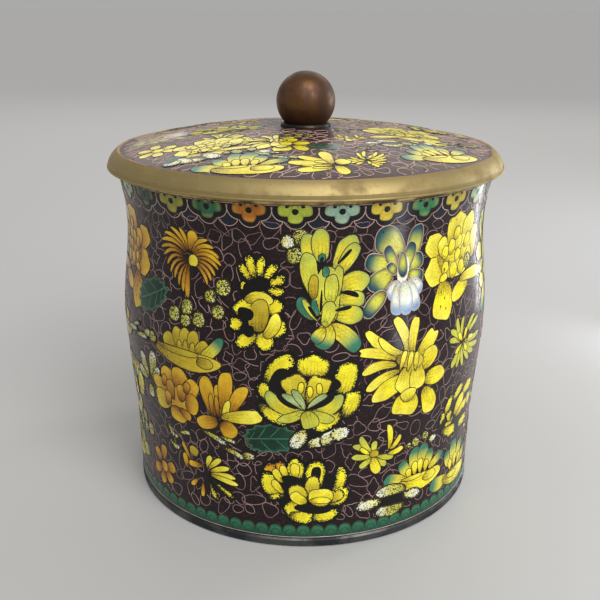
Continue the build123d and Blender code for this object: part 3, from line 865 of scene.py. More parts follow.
AMBER_SPRAY = Flower("amber_spray", (-50, 18), (
    layer(P.DEEP_AMBER, (-51.6, 18.6, -55.4, 22.6, 4.4), (-50.6, 19.6, -49.6, 26, 4.4),
          (-49, 17, -44.4, 19.4, 4.8),
          (-49.6, 16, -46, 12.4, 4.4), (-51.6, 16.4, -56.4, 14, 4.6), (-51, 15.6, -51.4, 10, 4.4)),
    layer(P.AMBER, (-52.2, 17.4, -48.4, 17.2, 4.2, 0, 1)),
))
EDGE_PEONY = Flower("edge_peony", (56, 38), (
    layer(P.BLACK, (55, 30, 56, 45, 19, 0, 0.9), wired=False),
    layer(P.EDGED, (48.4, 38.6, 51.4, 45.6, 4.0, 0.8, 0.8), (51.6, 43, 57.6, 47.4, 4.2, 0.6, 0.8),
          (57.8, 43, 66, 44.6, 5.4, 0.8, 0.8), (62, 39, 68, 36.4, 5.0, 0.8, 0.8),
          (47.6, 33.4, 56.4, 30.4, 4.8, -0.6, 0.8),
          (57.6, 31.4, 66, 31.6, 4.4, -0.6, 0.8), (46, 35.6, 47.6, 40.6, 3.0), wired=False, halo=0.5),
    layer(P.YELLOW, (54.4, 36.4, 59.6, 42.6, 6.4, 0.8, 0.6), (55.4, 35.4, 64, 38, 4.4, 0.6, 0.6)),
    layer(P.LOBE, (54, 35, 49.8, 39.6, 4.2, 0.6, 0.6), (54, 34.4, 48.6, 34.8, 2.4)),
    layer(P.BLACK, (51.8, 35.8, 53.2, 39, 2.4), (57.4, 34.4, 61.4, 36, 1.8), wired=False),
))
PALE_SPRAY = Flower("pale_spray", (-53, 53), (
    layer(P.SPRIG, (-54, 50, -57, 60, 5.4, 0.6, 0.7), (-52.4, 52, -49.6, 62.6, 5.2, -0.6, 0.7),
          (-52, 50.6, -46.8, 56.6, 3.6), (-54.4, 50, -60.6, 52.6, 4.6), (-53, 48.6, -54, 43, 4.8)),
    layer(P.BUD, (-50.4, 66.4, -47.4, 68.8, 4.2, 0, 1)),
))

FRONT: tuple[Flower, ...] = (
    LEAF, WAVY, AMBER_SPRAY, PALE_SPRAY, PALM, BUDS, TWO_BUDS, SNOW_BUDS, LOTUS, AMBER_ROSE, LILY, SLENDER,
    SPRIG, FAN, SUNBURST, IRIS, ORCHID, BIG_PEONY, SPIDER, CHRYSANTHEMUM, PEONY, SPECKLED, SMALL_SPIDER,
    TEAL_LOTUS, FAR_LOTUS,
    CROSS, EDGE_PEONY,
)
# Flower, degrees from the front, height, turn and flip of the ones round the sides and the back.
ROUND: tuple[tuple, ...] = (
    (BIG_PEONY, -64, 93, 0, True, True), (LEAF, -50, 82, 200, False), (BUDS, -63, 30, 0, True),
    (TEAL_LOTUS, -74, 18, 0, True),
    (LOTUS, -76, 66, 0, True), (SPECKLED, -72, 42, 10, True), (ORCHID, -90, 88, 0, True),
    (CHRYSANTHEMUM, -98, 56, 0, True), (CROSS, -93, 16, 0, False), (IRIS, -111, 95, 0, False),
    (SMALL_SPIDER, -107, 30, 0, False), (PALM, -130, 100, 0, True), (PEONY, -124, 70, 0, True),
    (SPECKLED, -126, 40, 0, False), (TEAL_LOTUS, -116, 15, 0, True), (BUDS, -133, 86, 20, False),
    (FAN, -140, 21, 0, True), (LILY, -146, 62, 0, True), (BIG_PEONY, -155, 94, 0, False, True),
    (LEAF, -147, 44, 20, True),
    (SUNBURST, -170, 66, 0, False), (EDGE_PEONY, -162, 33, 0, False), (WAVY, -159, 13, 0, False),
    (ORCHID, 174, 92, 8, False), (LOTUS, 178, 42, 0, False), (AMBER_SPRAY, 176, 19, 0, False),
    (CHRYSANTHEMUM, 155, 62, 0, False, True), (PALM, 154, 101, 0, False), (TEAL_LOTUS, 158, 26, 0, False),
    (IRIS, 136, 92, 0, True), (PEONY, 130, 50, 0, False), (SPECKLED, 136, 20, 0, True),
    (SUNBURST, 116, 84, 0, True),
    (TWO_BUDS, 121, 103, 0, False), (LILY, 108, 56, 0, True), (FAN, 112, 25, 0, False),
    (BIG_PEONY, 95, 92, 0, True),
    (LEAF, 101, 39, 160, False), (SPIDER, 88, 62, 0, True), (CROSS, 97, 13, 0, True),
    (ORCHID, 76, 90, 0, True),
    (SMALL_SPIDER, 80, 38, 0, True), (SLENDER, 82, 22, 0, True), (SNOW_BUDS, 144, 76, 40, False),
    (WAVY, 143, 36, 10, True), (SLENDER, -60, 66, 30, False), (SPRIG, 70, 24, 0, True),
    (TWO_BUDS, -104, 77, 0, True),
)
# Flower, x and y in mm from above, turn, flip and growth of the ones on the lid.
ON_LID: tuple[tuple, ...] = (
    (AMBER_SPRAY, -48, -28, 20, False, 0.95), (CHRYSANTHEMUM, -27, -23, 78, True, 0.5),
    (BIG_PEONY, -32, -34, 12, False, 0.72), (CHRYSANTHEMUM, -10, -31, 12, False, 0.62),
    (WAVY, -34.6, -44.6, 22, True, 0.9),
    (SLENDER, -12, -45, 0, False, 0.95), (TEAL_LOTUS, -18.6, -52.6, 0, False, 1.05),
    (LEAF, 6, -37, 0, False, 0.62),
    (SPIDER, 19, -48, 70, False, 0.62), (LILY, 5, -54, 96, False, 0.78), (BUDS, -2, -22, 0, False, 0.7),
    (SMALL_SPIDER, 13, -24, 0, False, 0.6), (CROSS, 28, -28, 15, False, 0.7),
    (TEAL_LOTUS, 42.6, -34.2, 36, False, 1.05),
    (BIG_PEONY, 35, -10, 20, True, 0.8), (SLENDER, 51, -16, 50, False, 0.9),
    (IRIS, -50, -8, 100, False, 0.72),
    (ORCHID, -28, -6, 90, False, 0.7), (SUNBURST, 49, 9, -80, False, 0.75),
    (CHRYSANTHEMUM, 36, 30, 160, False, 0.8),
    (PEONY, 10, 32, 190, False, 0.85), (LOTUS, 14, 54, 180, False, 0.95),
    (BIG_PEONY, -18, 44, 160, False, 0.75),
    (FAN, -38, 24, -120, False, 0.8), (TEAL_LOTUS, -50, 20, -110, True, 0.8),
    (LEAF, -12, 23, 200, False, 0.6),
    (BUDS, 23, 14, 90, False, 0.8), (SMALL_SPIDER, -22, 15, 0, True, 0.8),
    (CROSS, 35.6, 46.4, 140, False, 0.7),
    (SPECKLED, -40.2, 37, 130, False, 0.62), (SPRIG, 14, -10, 0, False, 0.8),
    (LEAF, -41.6, -42.6, 60, False, 0.4),
    (SPRIG, 20, -36, 40, False, 0.7),
)


class Season(Enum):
    """Other paints for a flower that is used again."""

    SAME = {}
    AUTUMN = {P.SUN: P.AMBER, P.YELLOW: P.AMBER, P.HUB: P.DEEP_AMBER, P.GOLDEN: P.AMBER}
    SUMMER = {P.AMBER: P.YELLOW, P.DEEP_AMBER: P.SUN, P.OLIVE: P.SUN, P.LIME: P.YELLOW, P.GOLDEN: P.YELLOW}


# ---------------------------------------------------------------- laying the enamel
@dataclass
class Cell:
    """A petal laid on a surface, with its outline and height."""

    petal: Petal
    glaze: Glaze
    wired: bool
    level: int = 0

    def __post_init__(self) -> None:
        """Works out the outline once."""
        self.count = 18 if self.petal.width < 2.6 else 26
        if self.petal.teeth:
            self.count = self.petal.teeth * 6
        self.outline = [(p[0], p[1]) for p in self.petal.ring(1.0, self.count)]
        xs, ys = [p[0] for p in self.outline], [p[1] for p in self.outline]
        self.mid = ((min(xs) + max(xs)) / 2, (min(ys) + max(ys)) / 2)
        self.half = ((max(xs) - min(xs)) / 2, (max(ys) - min(ys)) / 2)

    def near(self, other: "Cell", skin: Skin) -> bool:
        """True if the boxes of two cells meet."""
        return (abs(skin.gap(self.mid[0] - other.mid[0])) < self.half[0] + other.half[0]
                and abs(self.mid[1] - other.mid[1]) < self.half[1] + other.half[1])

    def meets(self, other: "Cell", skin: Skin) -> bool:
        """True if two cells overlap."""
        if not self.near(other, skin):
            return False
        return (any(other.holds(x, y, skin) for x, y in self.outline)
                or any(self.holds(x, y, skin) for x, y in other.outline))

    def holds(self, x: float, y: float, skin: Skin) -> bool:
        """True if a point lies inside the outline."""
        dx = skin.gap(x - self.mid[0])
        if abs(dx) > self.half[0] or abs(y - self.mid[1]) > self.half[1]:
            return False
        x = self.mid[0] + dx
        inside = False
        px, py = self.outline[-1]
        for qx, qy in self.outline:
            if (qy > y) != (py > y) and x < (px - qx) * (y - qy) / (py - qy) + qx:
                inside = not inside
            px, py = qx, qy
        return inside


class PadMesh:
    """Collects closed enamel pads and makes one mesh of them."""

    depth = 0.16

    def __init__(self, skin: Skin) -> None:
        """Starts an empty mesh on a surface."""
        self.skin = skin
        self.verts: list[Vector] = []
        self.faces: list[list[int]] = []
        self.tints: list[Colour] = []
        self.marks: list[Colour] = []
        self.grows: list[Colour] = []
        self.sharp: set[tuple[int, int]] = set()

    def add(self, cell: Cell, lift: float) -> None:
        """Adds one pad: a fan of rings on top, a short skirt and an underside.

        Args:
            cell: the petal and its paint.
            lift: height of its top above the surface, in mm.
        """
        petal, glaze, count = cell.petal, cell.glaze, cell.count
        long = math.hypot(petal.x1 - petal.x0, petal.y1 - petal.y0)
        rings = 3 if max(long, petal.width) < 6 else 5
        deep = min(petal.width, long) / 2
        start = len(self.verts)
        middle = petal.ring(0.0, 1)[0]
        veins = glaze.veins if long > 4.5 else 0.0
        self._vertex(middle[:2], lift, glaze.tint(0.5, deep), (deep, glaze.reach, glaze.fleck),
                     (0.5, 0.0, veins))
        for k in range(1, rings + 1):
            scale = k / rings
            for x, y, run, half, across in petal.ring(scale, count):
                edge = (1 - scale) * min(deep, half)
                self._vertex((x, y), lift, glaze.tint(run, edge), (edge, glaze.reach, glaze.fleck),
                             (run, across, veins))
        for x, y, run, _, across in petal.ring(1.0, count):
            self._vertex((x, y), -self.depth, glaze.tint(run, 0.0), (0.0, glaze.reach, glaze.fleck),
                         (run, across, veins))
        first = start + 1
        for i in range(count):
            j = (i + 1) % count
            self.faces.append([start, first + i, first + j])
            for k in range(rings):
                a = first + k * count
                self.faces.append([a + i, a + count + i, a + count + j, a + j])
            top = first + (rings - 1) * count
            self.sharp.add((min(top + i, top + j), max(top + i, top + j)))
            low = top + count
            self.sharp.add((min(low + i, low + j), max(low + i, low + j)))
        low = first + rings * count
        self.faces.append([low + i for i in reversed(range(count))])

    def _vertex(self, flat: Point, lift: float, tint: Colour, marks: Colour, grow: Colour) -> None:
        """Adds a point with its colour, marks and place in the petal."""
        self.verts.append(self.skin.point(flat[0], flat[1], lift))
        self.tints.append(tint)
        self.marks.append(marks)
        self.grows.append(grow)

    def build(self, name: str) -> bpy.types.Object:
        """The mesh as a new object in the scene."""
        mesh = bpy.data.meshes.new(name)
        mesh.from_pydata(self.verts, [], self.faces)
        tint = mesh.attributes.new("tint", "FLOAT_COLOR", "POINT")
        tint.data.foreach_set("color", [c for t in self.tints for c in (*t, 1.0)])
        marks = mesh.attributes.new("marks", "FLOAT_VECTOR", "POINT")
        marks.data.foreach_set("vector", [c for m in self.marks for c in m])
        grow = mesh.attributes.new("grow", "FLOAT_VECTOR", "POINT")
        grow.data.foreach_set("vector", [c for g in self.grows for c in g])
        mesh.shade_smooth()
        for edge in mesh.edges:
            edge.use_edge_sharp = tuple(sorted(edge.vertices)) in self.sharp
        obj = bpy.data.objects.new(name, mesh)
        bpy.context.scene.collection.objects.link(obj)
        return obj


class WirePaths:
    """Collects wire centre lines and makes one edge mesh of them."""

    def __init__(self, skin: Skin) -> None:
        """Starts with no lines."""
        self.skin = skin
        self.verts: list[Vector] = []
        self.edges: list[tuple[int, int]] = []

    def add(self, line: Sequence[Point], sink: float, keep: Callable[[float, float], bool],
            closed: bool = True) -> None:
        """Adds a line where it isn't covered.

        Args:
            line: flat points.
            sink: depth of the wire's centre below the surface, in mm.
            keep: True for a point that shows.
            closed: joins the last point to the first.
        """
        shown = [keep(x, y) for x, y in line]
        index = {}
        for i, (x, y) in enumerate(line):
            if shown[i]:
                index[i] = len(self.verts)
                self.verts.append(self.skin.point(x, y, -sink))
        for i in range(len(line) if closed else len(line) - 1):
            j = (i + 1) % len(line)
            if shown[i] and shown[j]:
                self.edges.append((index[i], index[j]))

    def build(self, name: str) -> bpy.types.Object:
        """The lines as a new object in the scene."""
        mesh = bpy.data.meshes.new(name)
        used = sorted({i for edge in self.edges for i in edge})
        place = {old: new for new, old in enumerate(used)}
        mesh.from_pydata([self.verts[i] for i in used], [(place[a], place[b]) for a, b in self.edges], [])
        obj = bpy.data.objects.new(name, mesh)
        bpy.context.scene.collection.objects.link(obj)
        return obj


# ---------------------------------------------------------------- geometry nodes
class NodeTree:
    """A Geometry Nodes tree built step by step."""

    def __init__(self, name: str, sizes: dict[str, tuple[str, object]]) -> None:
        """Makes the tree with a geometry input, named sizes and a geometry output."""
        self.tree = bpy.data.node_groups.new(name, "GeometryNodeTree")
        face = self.tree.interface
        face.new_socket(name="Geometry", in_out="INPUT", socket_type="NodeSocketGeometry")
        for key, (kind, value) in sizes.items():
            socket = face.new_socket(name=key, in_out="INPUT", socket_type=kind)
            if value is not None:
                socket.default_value = value
        face.new_socket(name="Geometry", in_out="OUTPUT", socket_type="NodeSocketGeometry")
        self.source = self.tree.nodes.new("NodeGroupInput")
        self.sink = self.tree.nodes.new("NodeGroupOutput")

    def given(self, name: str) -> bpy.types.NodeSocket:
        """An input of the tree by name."""
        return self.source.outputs[name]

    def step(self, kind: str, output: object = 0, settings: Optional[dict] = None,
             **inputs: object) -> bpy.types.NodeSocket:
        """Adds a node.

        Args:
            kind: the node's type.
            output: name or number of the output wanted.
            settings: properties set first.
            inputs: sockets to link or values by input name; an underscore stands for a space.

        Returns:
            That output.
        """
        node = self.tree.nodes.new(kind)
        for key, value in (settings or {}).items():
            setattr(node, key, value)
        for key, value in inputs.items():
            self._feed(node.inputs[key.replace("_", " ")], value)
        return node.outputs[output]

    def maths(self, operation: str, first: object, second: object) -> bpy.types.NodeSocket:
        """A Math node on two sockets or numbers."""
        node = self.tree.nodes.new("ShaderNodeMath")
        node.operation = operation
        self._feed(node.inputs[0], first)
        self._feed(node.inputs[1], second)
        return node.outputs[0]

    def _feed(self, place: bpy.types.NodeSocket, value: object) -> None:
        """Links a socket to an input, or sets its value."""
        if isinstance(value, bpy.types.NodeSocket):
            self.tree.links.new(value, place)
        else:
            place.default_value = value

    def repeated(self, geometry: bpy.types.NodeSocket) -> bpy.types.NodeSocket:
        """Copies of the geometry at equal turns round the axis, by the input Count."""
        points = self.step("GeometryNodePoints", Count=self.given("Count"))
        index = self.step("GeometryNodeInputIndex")
        turn = self.maths("MULTIPLY", index, self.maths("DIVIDE", math.tau, self.given("Count")))
        spin = self.step("ShaderNodeCombineXYZ", Z=turn)
        copies = self.step("GeometryNodeInstanceOnPoints", Points=points, Instance=geometry, Rotation=spin)
        return self.step("GeometryNodeRealizeInstances", Geometry=copies)

    def finish(self, geometry: bpy.types.NodeSocket) -> bpy.types.NodeTree:
        """Ends the tree with the material input and returns it."""
        dressed = self.step("GeometryNodeSetMaterial", Geometry=geometry, Material=self.given("Material"))
        self.tree.links.new(dressed, self.sink.inputs[0])
        return self.tree


def wire_tree() -> bpy.types.NodeTree:
    """Tree that repeats lines round the axis and sweeps a round wire along them."""
    tree = NodeTree("bent_wires", {"Count": ("NodeSocketInt", 1), "Radius": ("NodeSocketFloat", 0.00015),
                                   "Sides": ("NodeSocketInt", 4), "Material": ("NodeSocketMaterial", None)})
    lines = tree.repeated(tree.given("Geometry"))
    curves = tree.step("GeometryNodeMeshToCurve", Mesh=lines)
    section = tree.step("GeometryNodeCurvePrimitiveCircle", Resolution=tree.given("Sides"),
                        Radius=tree.given("Radius"))
    tube = tree.step("GeometryNodeCurveToMesh", Curve=curves, Profile_Curve=section, Fill_Caps=True)
    smooth = tree.step("GeometryNodeSetShadeSmooth", Geometry=tube)
    return tree.finish(tree.step("GeometryNodeRealizeInstances", Geometry=smooth))


def ring_tree() -> bpy.types.NodeTree:
    """Tree that repeats a piece round the axis."""
    tree = NodeTree("ring_of_pads", {"Count": ("NodeSocketInt", 1), "Material": ("NodeSocketMaterial", None)})
    return tree.finish(tree.repeated(tree.given("Geometry")))


def grown(obj: bpy.types.Object, tree: bpy.types.NodeTree, **sizes: object) -> bpy.types.Object:
    """Runs a tree on an object and keeps the result as a plain mesh.

    Args:
        obj: the object whose mesh goes in.
        tree: the node tree.
        sizes: values of the tree's inputs by name.

    Returns:
        The same object with the new mesh.
    """
    modifier = obj.modifiers.new("grow", "NODES")
    modifier.node_group = tree
    for item in tree.interface.items_tree:
        if item.item_type == "SOCKET" and item.in_out == "INPUT" and item.name in sizes:
            modifier[item.identifier] = sizes[item.name]
    graph = bpy.context.evaluated_depsgraph_get()
    mesh = bpy.data.meshes.new_from_object(obj.evaluated_get(graph))
    obj.modifiers.remove(modifier)
    obj.data = mesh
    mesh.name = obj.name
    return obj


# ---------------------------------------------------------------- sub-assemblies
@dataclass
class Finishes:
    """Every finish of the jar, made once."""

    enamel: bpy.types.Material
    # Wire tones: the dark petal wire is partly oxidised copper and partly painted shade; the pale ground and
    # edging wires are painted reflection on the same copper.
    petal_wire: bpy.types.Material
    ground_wire: bpy.types.Material
    edging_painted_reflection: bpy.types.Material


class Garden:
    """Flowers laid on one surface, with the wires round them and the scrolls between them."""

    square = 6.0
    petal_wire, pale_wire, petal_sink, scroll_sink = 0.0002, 0.00019, 0.13, 0.075

    def __init__(self, skin: Skin, body: str, finishes: Finishes) -> None:
        """Starts an empty surface that belongs to a body."""
        self.skin = skin
        self.body = body
        self.finishes = finishes
        self.cells: list[Cell] = []
        self.pieces = 0

    def plant(self, flower: Flower) -> None:
        """Lays one flower as its own piece, in metres on the surface.

        Args:
            flower: the flower, already in place in flat coordinates.
        """
        pads = PadMesh(self.skin)
        own: list[Cell] = []
        for one in flower.layers:
            if one.halo:
                own += [Cell(petal.swollen(one.halo), P.BLACK.value, False) for petal in one.petals]
            own += [Cell(petal, one.paint.value, one.wired) for petal in one.petals]
        for i, cell in enumerate(own):
            below = [c.level for c in self.cells + own[:i] if cell.meets(c, self.skin)]
            cell.level = 1 + max(below, default=0)
            pads.add(cell, self.lift(cell.level))
        self.cells += own
        self.pieces += 1
        piece = pads.build(f"{self.body}_{flower.name}_{self.pieces:02d}")
        piece.data.materials.append(self.finishes.enamel)
        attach(piece, self.body)
        log.info("%s: %d petals", piece.name, len(own))

    @staticmethod
    def lift(level: int) -> float:
        """Height of a pad's top for its place in the pile, in mm."""
        return 0.02 + 0.013 * level

    def _buckets(self) -> dict[tuple[int, int], list[int]]:
        """Cells by squares of the surface."""
        squares: dict[tuple[int, int], list[int]] = {}
        for number, cell in enumerate(self.cells):
            first = [int((middle - half) // self.square) for middle, half in zip(cell.mid, cell.half)]
            last = [int((middle + half) // self.square) for middle, half in zip(cell.mid, cell.half)]
            for dx in range(first[0], last[0] + 1):
                for dy in range(first[1], last[1] + 1):
                    squares.setdefault((self._column(dx), dy), []).append(number)
        return squares

    def _column(self, number: int) -> int:
        """Column of squares, wrapped round the surface."""
        return number % int(self.skin.period // self.square + 1) if self.skin.period else number

    def top(self, x: float, y: float, squares: dict) -> int:
        """Number of the highest cell at a point, or -1."""
        best = -1
        for shift in ((0.0,) if not self.skin.period else (0.0, self.skin.period, -self.skin.period)):
            square = (self._column(int((x + shift) // self.square)), int(y // self.square))
            for number in squares.get(square, ()):
                if number > best and self.cells[number].holds(x, y, self.skin):
                    best = number
        return best

    def wires(self, zones: Sequence[tuple[str, float, float]], tree: bpy.types.NodeTree) -> None:
        """Bends wires round the petals, one piece for each zone.

        Args:
            zones: name and the first and last flat x of each zone.
            tree: the wire tree.
        """
        squares = self._buckets()
        for name, low, high in zones:
            for pale, label in ((False, "petal"), (True, "pale")):
                paths = WirePaths(self.skin)
                for number, cell in enumerate(self.cells):
                    here = low <= self.skin.gap(cell.mid[0]) < high
                    if not cell.wired or cell.glaze.pale != pale or not here:
                        continue
                    paths.add(cell.outline, self.petal_sink - self.lift(cell.level),
                              lambda x, y: self.top(x, y, squares) <= number and self.skin.within(x, y))
                self._finish(paths, f"{self.body}_{label}_wires_{name}", tree,
                             self.pale_wire if pale else self.petal_wire,
                             self.finishes.edging_painted_reflection if pale else self.finishes.petal_wire)

    def scrolls(self, zones: Sequence[tuple[str, float, float]],
                area: Callable[[random.Random], Optional[Point]], count: int, spacing: float,
                tree: bpy.types.NodeTree, seed: int, radius: float, material: bpy.types.Material) -> None:
        """Fills the ground with small closed scrolls.

        Args:
            zones: name and the first and last flat x of each zone.
            area: gives a random point of the ground.
            count: tries.
            spacing: least distance of two scrolls' centres, in mm.
            tree: the wire tree.
            seed: fixed seed.
            radius: the wire's radius, in metres.
            material: the wire's finish.
        """
        squares = self._buckets()
        rng = random.Random(seed)
        seats: list[Point] = []
        grid: dict[tuple[int, int], list[Point]] = {}
        for _ in range(count):
            spot = area(rng)
            if spot is None:
                continue
            square = (int(spot[0] // 5), int(spot[1] // 5))
            close = [q for dx in (-1, 0, 1) for dy in (-1, 0, 1)
                     for q in grid.get((square[0] + dx, square[1] + dy), ())]
            if any(math.hypot(spot[0] - q[0], spot[1] - q[1]) < spacing for q in close):
                continue
            grid.setdefault(square, []).append(spot)
            seats.append(spot)
        for name, low, high in zones:
            paths = WirePaths(self.skin)
            for x, y in seats:
                line = self._scroll(x, y, rng)
                if low <= self.skin.gap(x) < high:
                    paths.add(line, self.scroll_sink,
                              lambda px, py: self.top(px, py, squares) < 0 and self.skin.within(px, py))
            self._finish(paths, f"{self.body}_scroll_wires_{name}", tree, radius, material)

    @staticmethod
    def _scroll(x: float, y: float, rng: random.Random) -> list[Point]:
        """A closed lobed loop about a point."""
        size, turn = rng.uniform(1.7, 2.9), rng.uniform(0, math.tau)
        long, lobes, depth = rng.uniform(0.7, 1.45), rng.choice((2, 3, 3, 4)), rng.uniform(0.05, 0.26)
        line = []
        for i in range(16):
            a = math.tau * i / 16
            r = size * (1 + depth * math.cos(lobes * a))
            u, v = r * math.cos(a) * long, r * math.sin(a) / long
            line.append((x + u * math.cos(turn) - v * math.sin(turn),
                         y + u * math.sin(turn) + v * math.cos(turn)))
        return line

    def _finish(self, paths: WirePaths, name: str, tree: bpy.types.NodeTree, radius: float,
                material: bpy.types.Material) -> None:
        """Sweeps the lines, dresses the piece and lets it ride; a zone without lines gets no piece."""
        if not paths.edges:
            return
        piece = grown(paths.build(name), tree, Count=1, Radius=radius, Sides=6, Material=material)
        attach(piece, self.body)
        log.info("%s: %d edges of line", name, len(paths.edges))


@dataclass
class HeadBorder:
    """Band of lobed heads under the mouth, each in a wire frame on black."""

    skin: Wall
    finishes: Finishes
    pitch: float = 12.0
    first: float = -2.5
    middle: float = 115.0
    top: float = 116.9
    reach: float = 3.4
    wire: float = 0.00017
    shine: Colour = srgb(236, 216, 90)
    dark: Glaze = Glaze(srgb(20, 22, 30), srgb(16, 18, 24), srgb(12, 12, 16))
    navy: Glaze = Glaze(srgb(34, 40, 62), srgb(26, 30, 46), srgb(18, 18, 28))
    heads: tuple[Colour, ...] = (
        srgb(178, 196, 70), srgb(146, 182, 166), srgb(214, 190, 62), srgb(60, 132, 92), srgb(196, 178, 66),
        srgb(150, 178, 132), srgb(40, 66, 56), srgb(150, 148, 66), srgb(44, 104, 74), srgb(176, 104, 34))

    def build(self, pads_tree: bpy.types.NodeTree, wires_tree: bpy.types.NodeTree) -> None:
        """Builds the pads and the wires of ten heads and repeats them three times round the jar.

        Args:
            pads_tree: the tree that repeats pads.
            wires_tree: the wire tree.
        """
        black, heads = PadMesh(self.skin), PadMesh(self.skin)
        lines, frames = WirePaths(self.skin), WirePaths(self.skin)
        for number, base in enumerate(self.heads):
            x = (self.first + number * self.pitch) * ARC
            self._ground(black, x)
            self._head(heads, lines, x, base)
            self._frame(frames, x)
        self._ring(black, "jar_border_ground", pads_tree)
        self._ring(heads, "jar_border_heads", pads_tree)
        for paths, name, material in ((lines, "jar_head_wires", self.finishes.petal_wire),
                                      (frames, "jar_frame_wires", self.finishes.edging_painted_reflection)):
            piece = grown(paths.build(name), wires_tree,
                          Count=3, Radius=self.wire, Sides=4, Material=material)
            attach(piece, "jar")
            log.info("%s", name)

    def _bows(self, x: float) -> tuple[tuple[float, float, float], ...]:
        """The three bows of the frame round the head at x, each x, y and radius."""
        y = self.middle
        return (x - 3.5, y + 0.2, 3.3), (x, y - 2.0, self.reach), (x + 3.5, y + 0.2, 3.3)

    def _ground(self, black: PadMesh, x: float) -> None:
        """The black behind a head and the navy beside it."""
        for left, y, _ in self._bows(x):
            pad = Petal(left, y - 3.3, left, min(y + 3.3, self.top), 6.6, 0, 1)
            black.add(Cell(pad, self.dark, False), 0.024 + 0.002 * (left - x))
        beside, y = x + 6.8, self.middle
        black.add(Cell(Petal(beside, y - 5.4, beside, y + 0.4, 6.2, 0, 0.8), self.navy, False), 0.014)

    def _head(self, heads: PadMesh, lines: WirePaths, x: float, base: Colour) -> None:
        """The lobes of one head, their wires and their dark spots."""
        y, light = self.middle, blend(base, self.shine, 0.25)
        glaze = Glaze(light, base, light, rim=blend(base, srgb(30, 50, 34), 0.35), rim_width=0.5, veins=0.0)
        lobes = (Petal(x, y + 0.3, x - 5.2, y + 0.4, 4.0, 0, 0.8),
                 Petal(x, y + 0.3, x + 5.2, y + 0.4, 4.0, 0, 0.8),
                 Petal(x, y + 0.6, x, y - 3.8, 4.8, 0, 0.8), Petal(x, y - 0.4, x, y + 2.1, 2.6, 0, 1.0))
        cells = [Cell(lobe, glaze, True) for lobe in lobes]
        for i, cell in enumerate(cells):
            heads.add(cell, 0.05 + 0.004 * i)
            others = [c for c in cells if c is not cell]
            lines.add(cell.outline, 0.03, lambda px, py: not any(c.holds(px, py, self.skin) for c in others))
        for dx, dy, size in ((0, 0, 1.9), (-2.3, 1.7, 1.2), (2.3, 1.7, 1.2)):
            dot = Petal(x + dx - size / 2, y + dy, x + dx + size / 2, y + dy, size, 0, 1)
            heads.add(Cell(dot, P.BLACK.value, False), 0.075)

    def _frame(self, frames: WirePaths, x: float) -> None:
        """The three bowed wires round a head and the swag between it and the next."""
        bows, low = self._bows(x), self.middle - 2.0
        for bow in bows:
            others = [b for b in bows if b is not bow]
            arc = [(bow[0] + bow[2] * math.cos(a), bow[1] + bow[2] * math.sin(a))
                   for a in (math.radians(t) for t in range(0, 360, 10))]
            frames.add(arc, 0.05, lambda px, py: py < self.top - 0.1 and all(
                math.hypot(px - b[0], py - b[1]) > b[2] for b in others))
        swag = [(x + 6.8 + math.sin(a) * self.reach, low - math.cos(a) * self.reach)
                for a in (math.radians(t) for t in range(-70, 71, 10))]
        frames.add(swag, 0.05, lambda px, py: all(
            math.hypot(px - side, py - low) > self.reach for side in (x, x + 13.6)), closed=False)

    def _ring(self, pads: PadMesh, name: str, tree: bpy.types.NodeTree) -> None:
        """Repeats ten heads' pads three times round the jar."""
        piece = grown(pads.build(name), tree, Count=3, Material=self.finishes.enamel)
        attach(piece, "jar")
        log.info("%s", name)


@dataclass
class ScaleBorder:
    """Band of overlapping scales above the foot."""

    skin: Wall
    finishes: Finishes
    count: int = 86
    radius: float = 63.7
    top: float = 8.7
    bottom: float = 3.6
    wire: float = 0.00014
    glaze: Glaze = Glaze(srgb(20, 58, 48), srgb(34, 92, 68), srgb(48, 112, 82), 0.5,
                         srgb(26, 66, 60), 0.7, veins=0.0)

    def build(self, pads_tree: bpy.types.NodeTree, wires_tree: bpy.types.NodeTree) -> None:
        """Builds one scale and its wire, and repeats them."""
        half = math.pi * self.radius / self.count
        pads, paths = PadMesh(self.skin), WirePaths(self.skin)
        scale = Petal(0, self.bottom, 0, self.top - 0.2, half * 2.06, 0, 0.98)
        pads.add(Cell(scale, self.glaze, False), 0.03)
        behind = Petal(half, self.bottom, half, self.top - 2.2, half * 1.3, 0, 0.9)
        pads.add(Cell(behind, self.glaze, False), 0.022)
        rise = self.top - self.bottom
        line = [(math.sin(a) * half * 1.04, self.bottom + rise * (0.52 + 0.48 * math.cos(a)) - 0.1)
                for a in (math.radians(t) for t in range(-96, 97, 16))]
        paths.add(line, 0.04, lambda *_: True, closed=False)
        inner = [(px * 0.55, self.bottom + (py - self.bottom) * 0.62) for px, py in line]
        paths.add(inner, 0.04, lambda *_: True, closed=False)
        piece = grown(pads.build("jar_scales"), pads_tree, Count=self.count, Material=self.finishes.enamel)
        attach(piece, "jar")
        wires = grown(paths.build("jar_scale_wires"), wires_tree, Count=self.count, Radius=self.wire, Sides=4,
                      Material=self.finishes.petal_wire)
        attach(wires, "jar")
        log.info("scale border of %d", self.count)


@dataclass
class BandWires:
    """Plain wires round the jar that close the borders."""

    skin: Wall
    finishes: Finishes
    heights: tuple[float, ...] = (3.75, 116.9)

    def build(self, tree: bpy.types.NodeTree) -> None:
        """Builds all rings as one piece."""
        paths = WirePaths(self.skin)
        for height in self.heights:
            paths.add([(i * self.skin.period / 180, height) for i in range(180)], 0.06, lambda *_: True)
        piece = grown(paths.build("jar_band_wires"), tree, Count=1, Radius=0.00016, Sides=6,
                      Material=self.finishes.edging_painted_reflection)
        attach(piece, "jar")
        log.info("%s", piece.name)


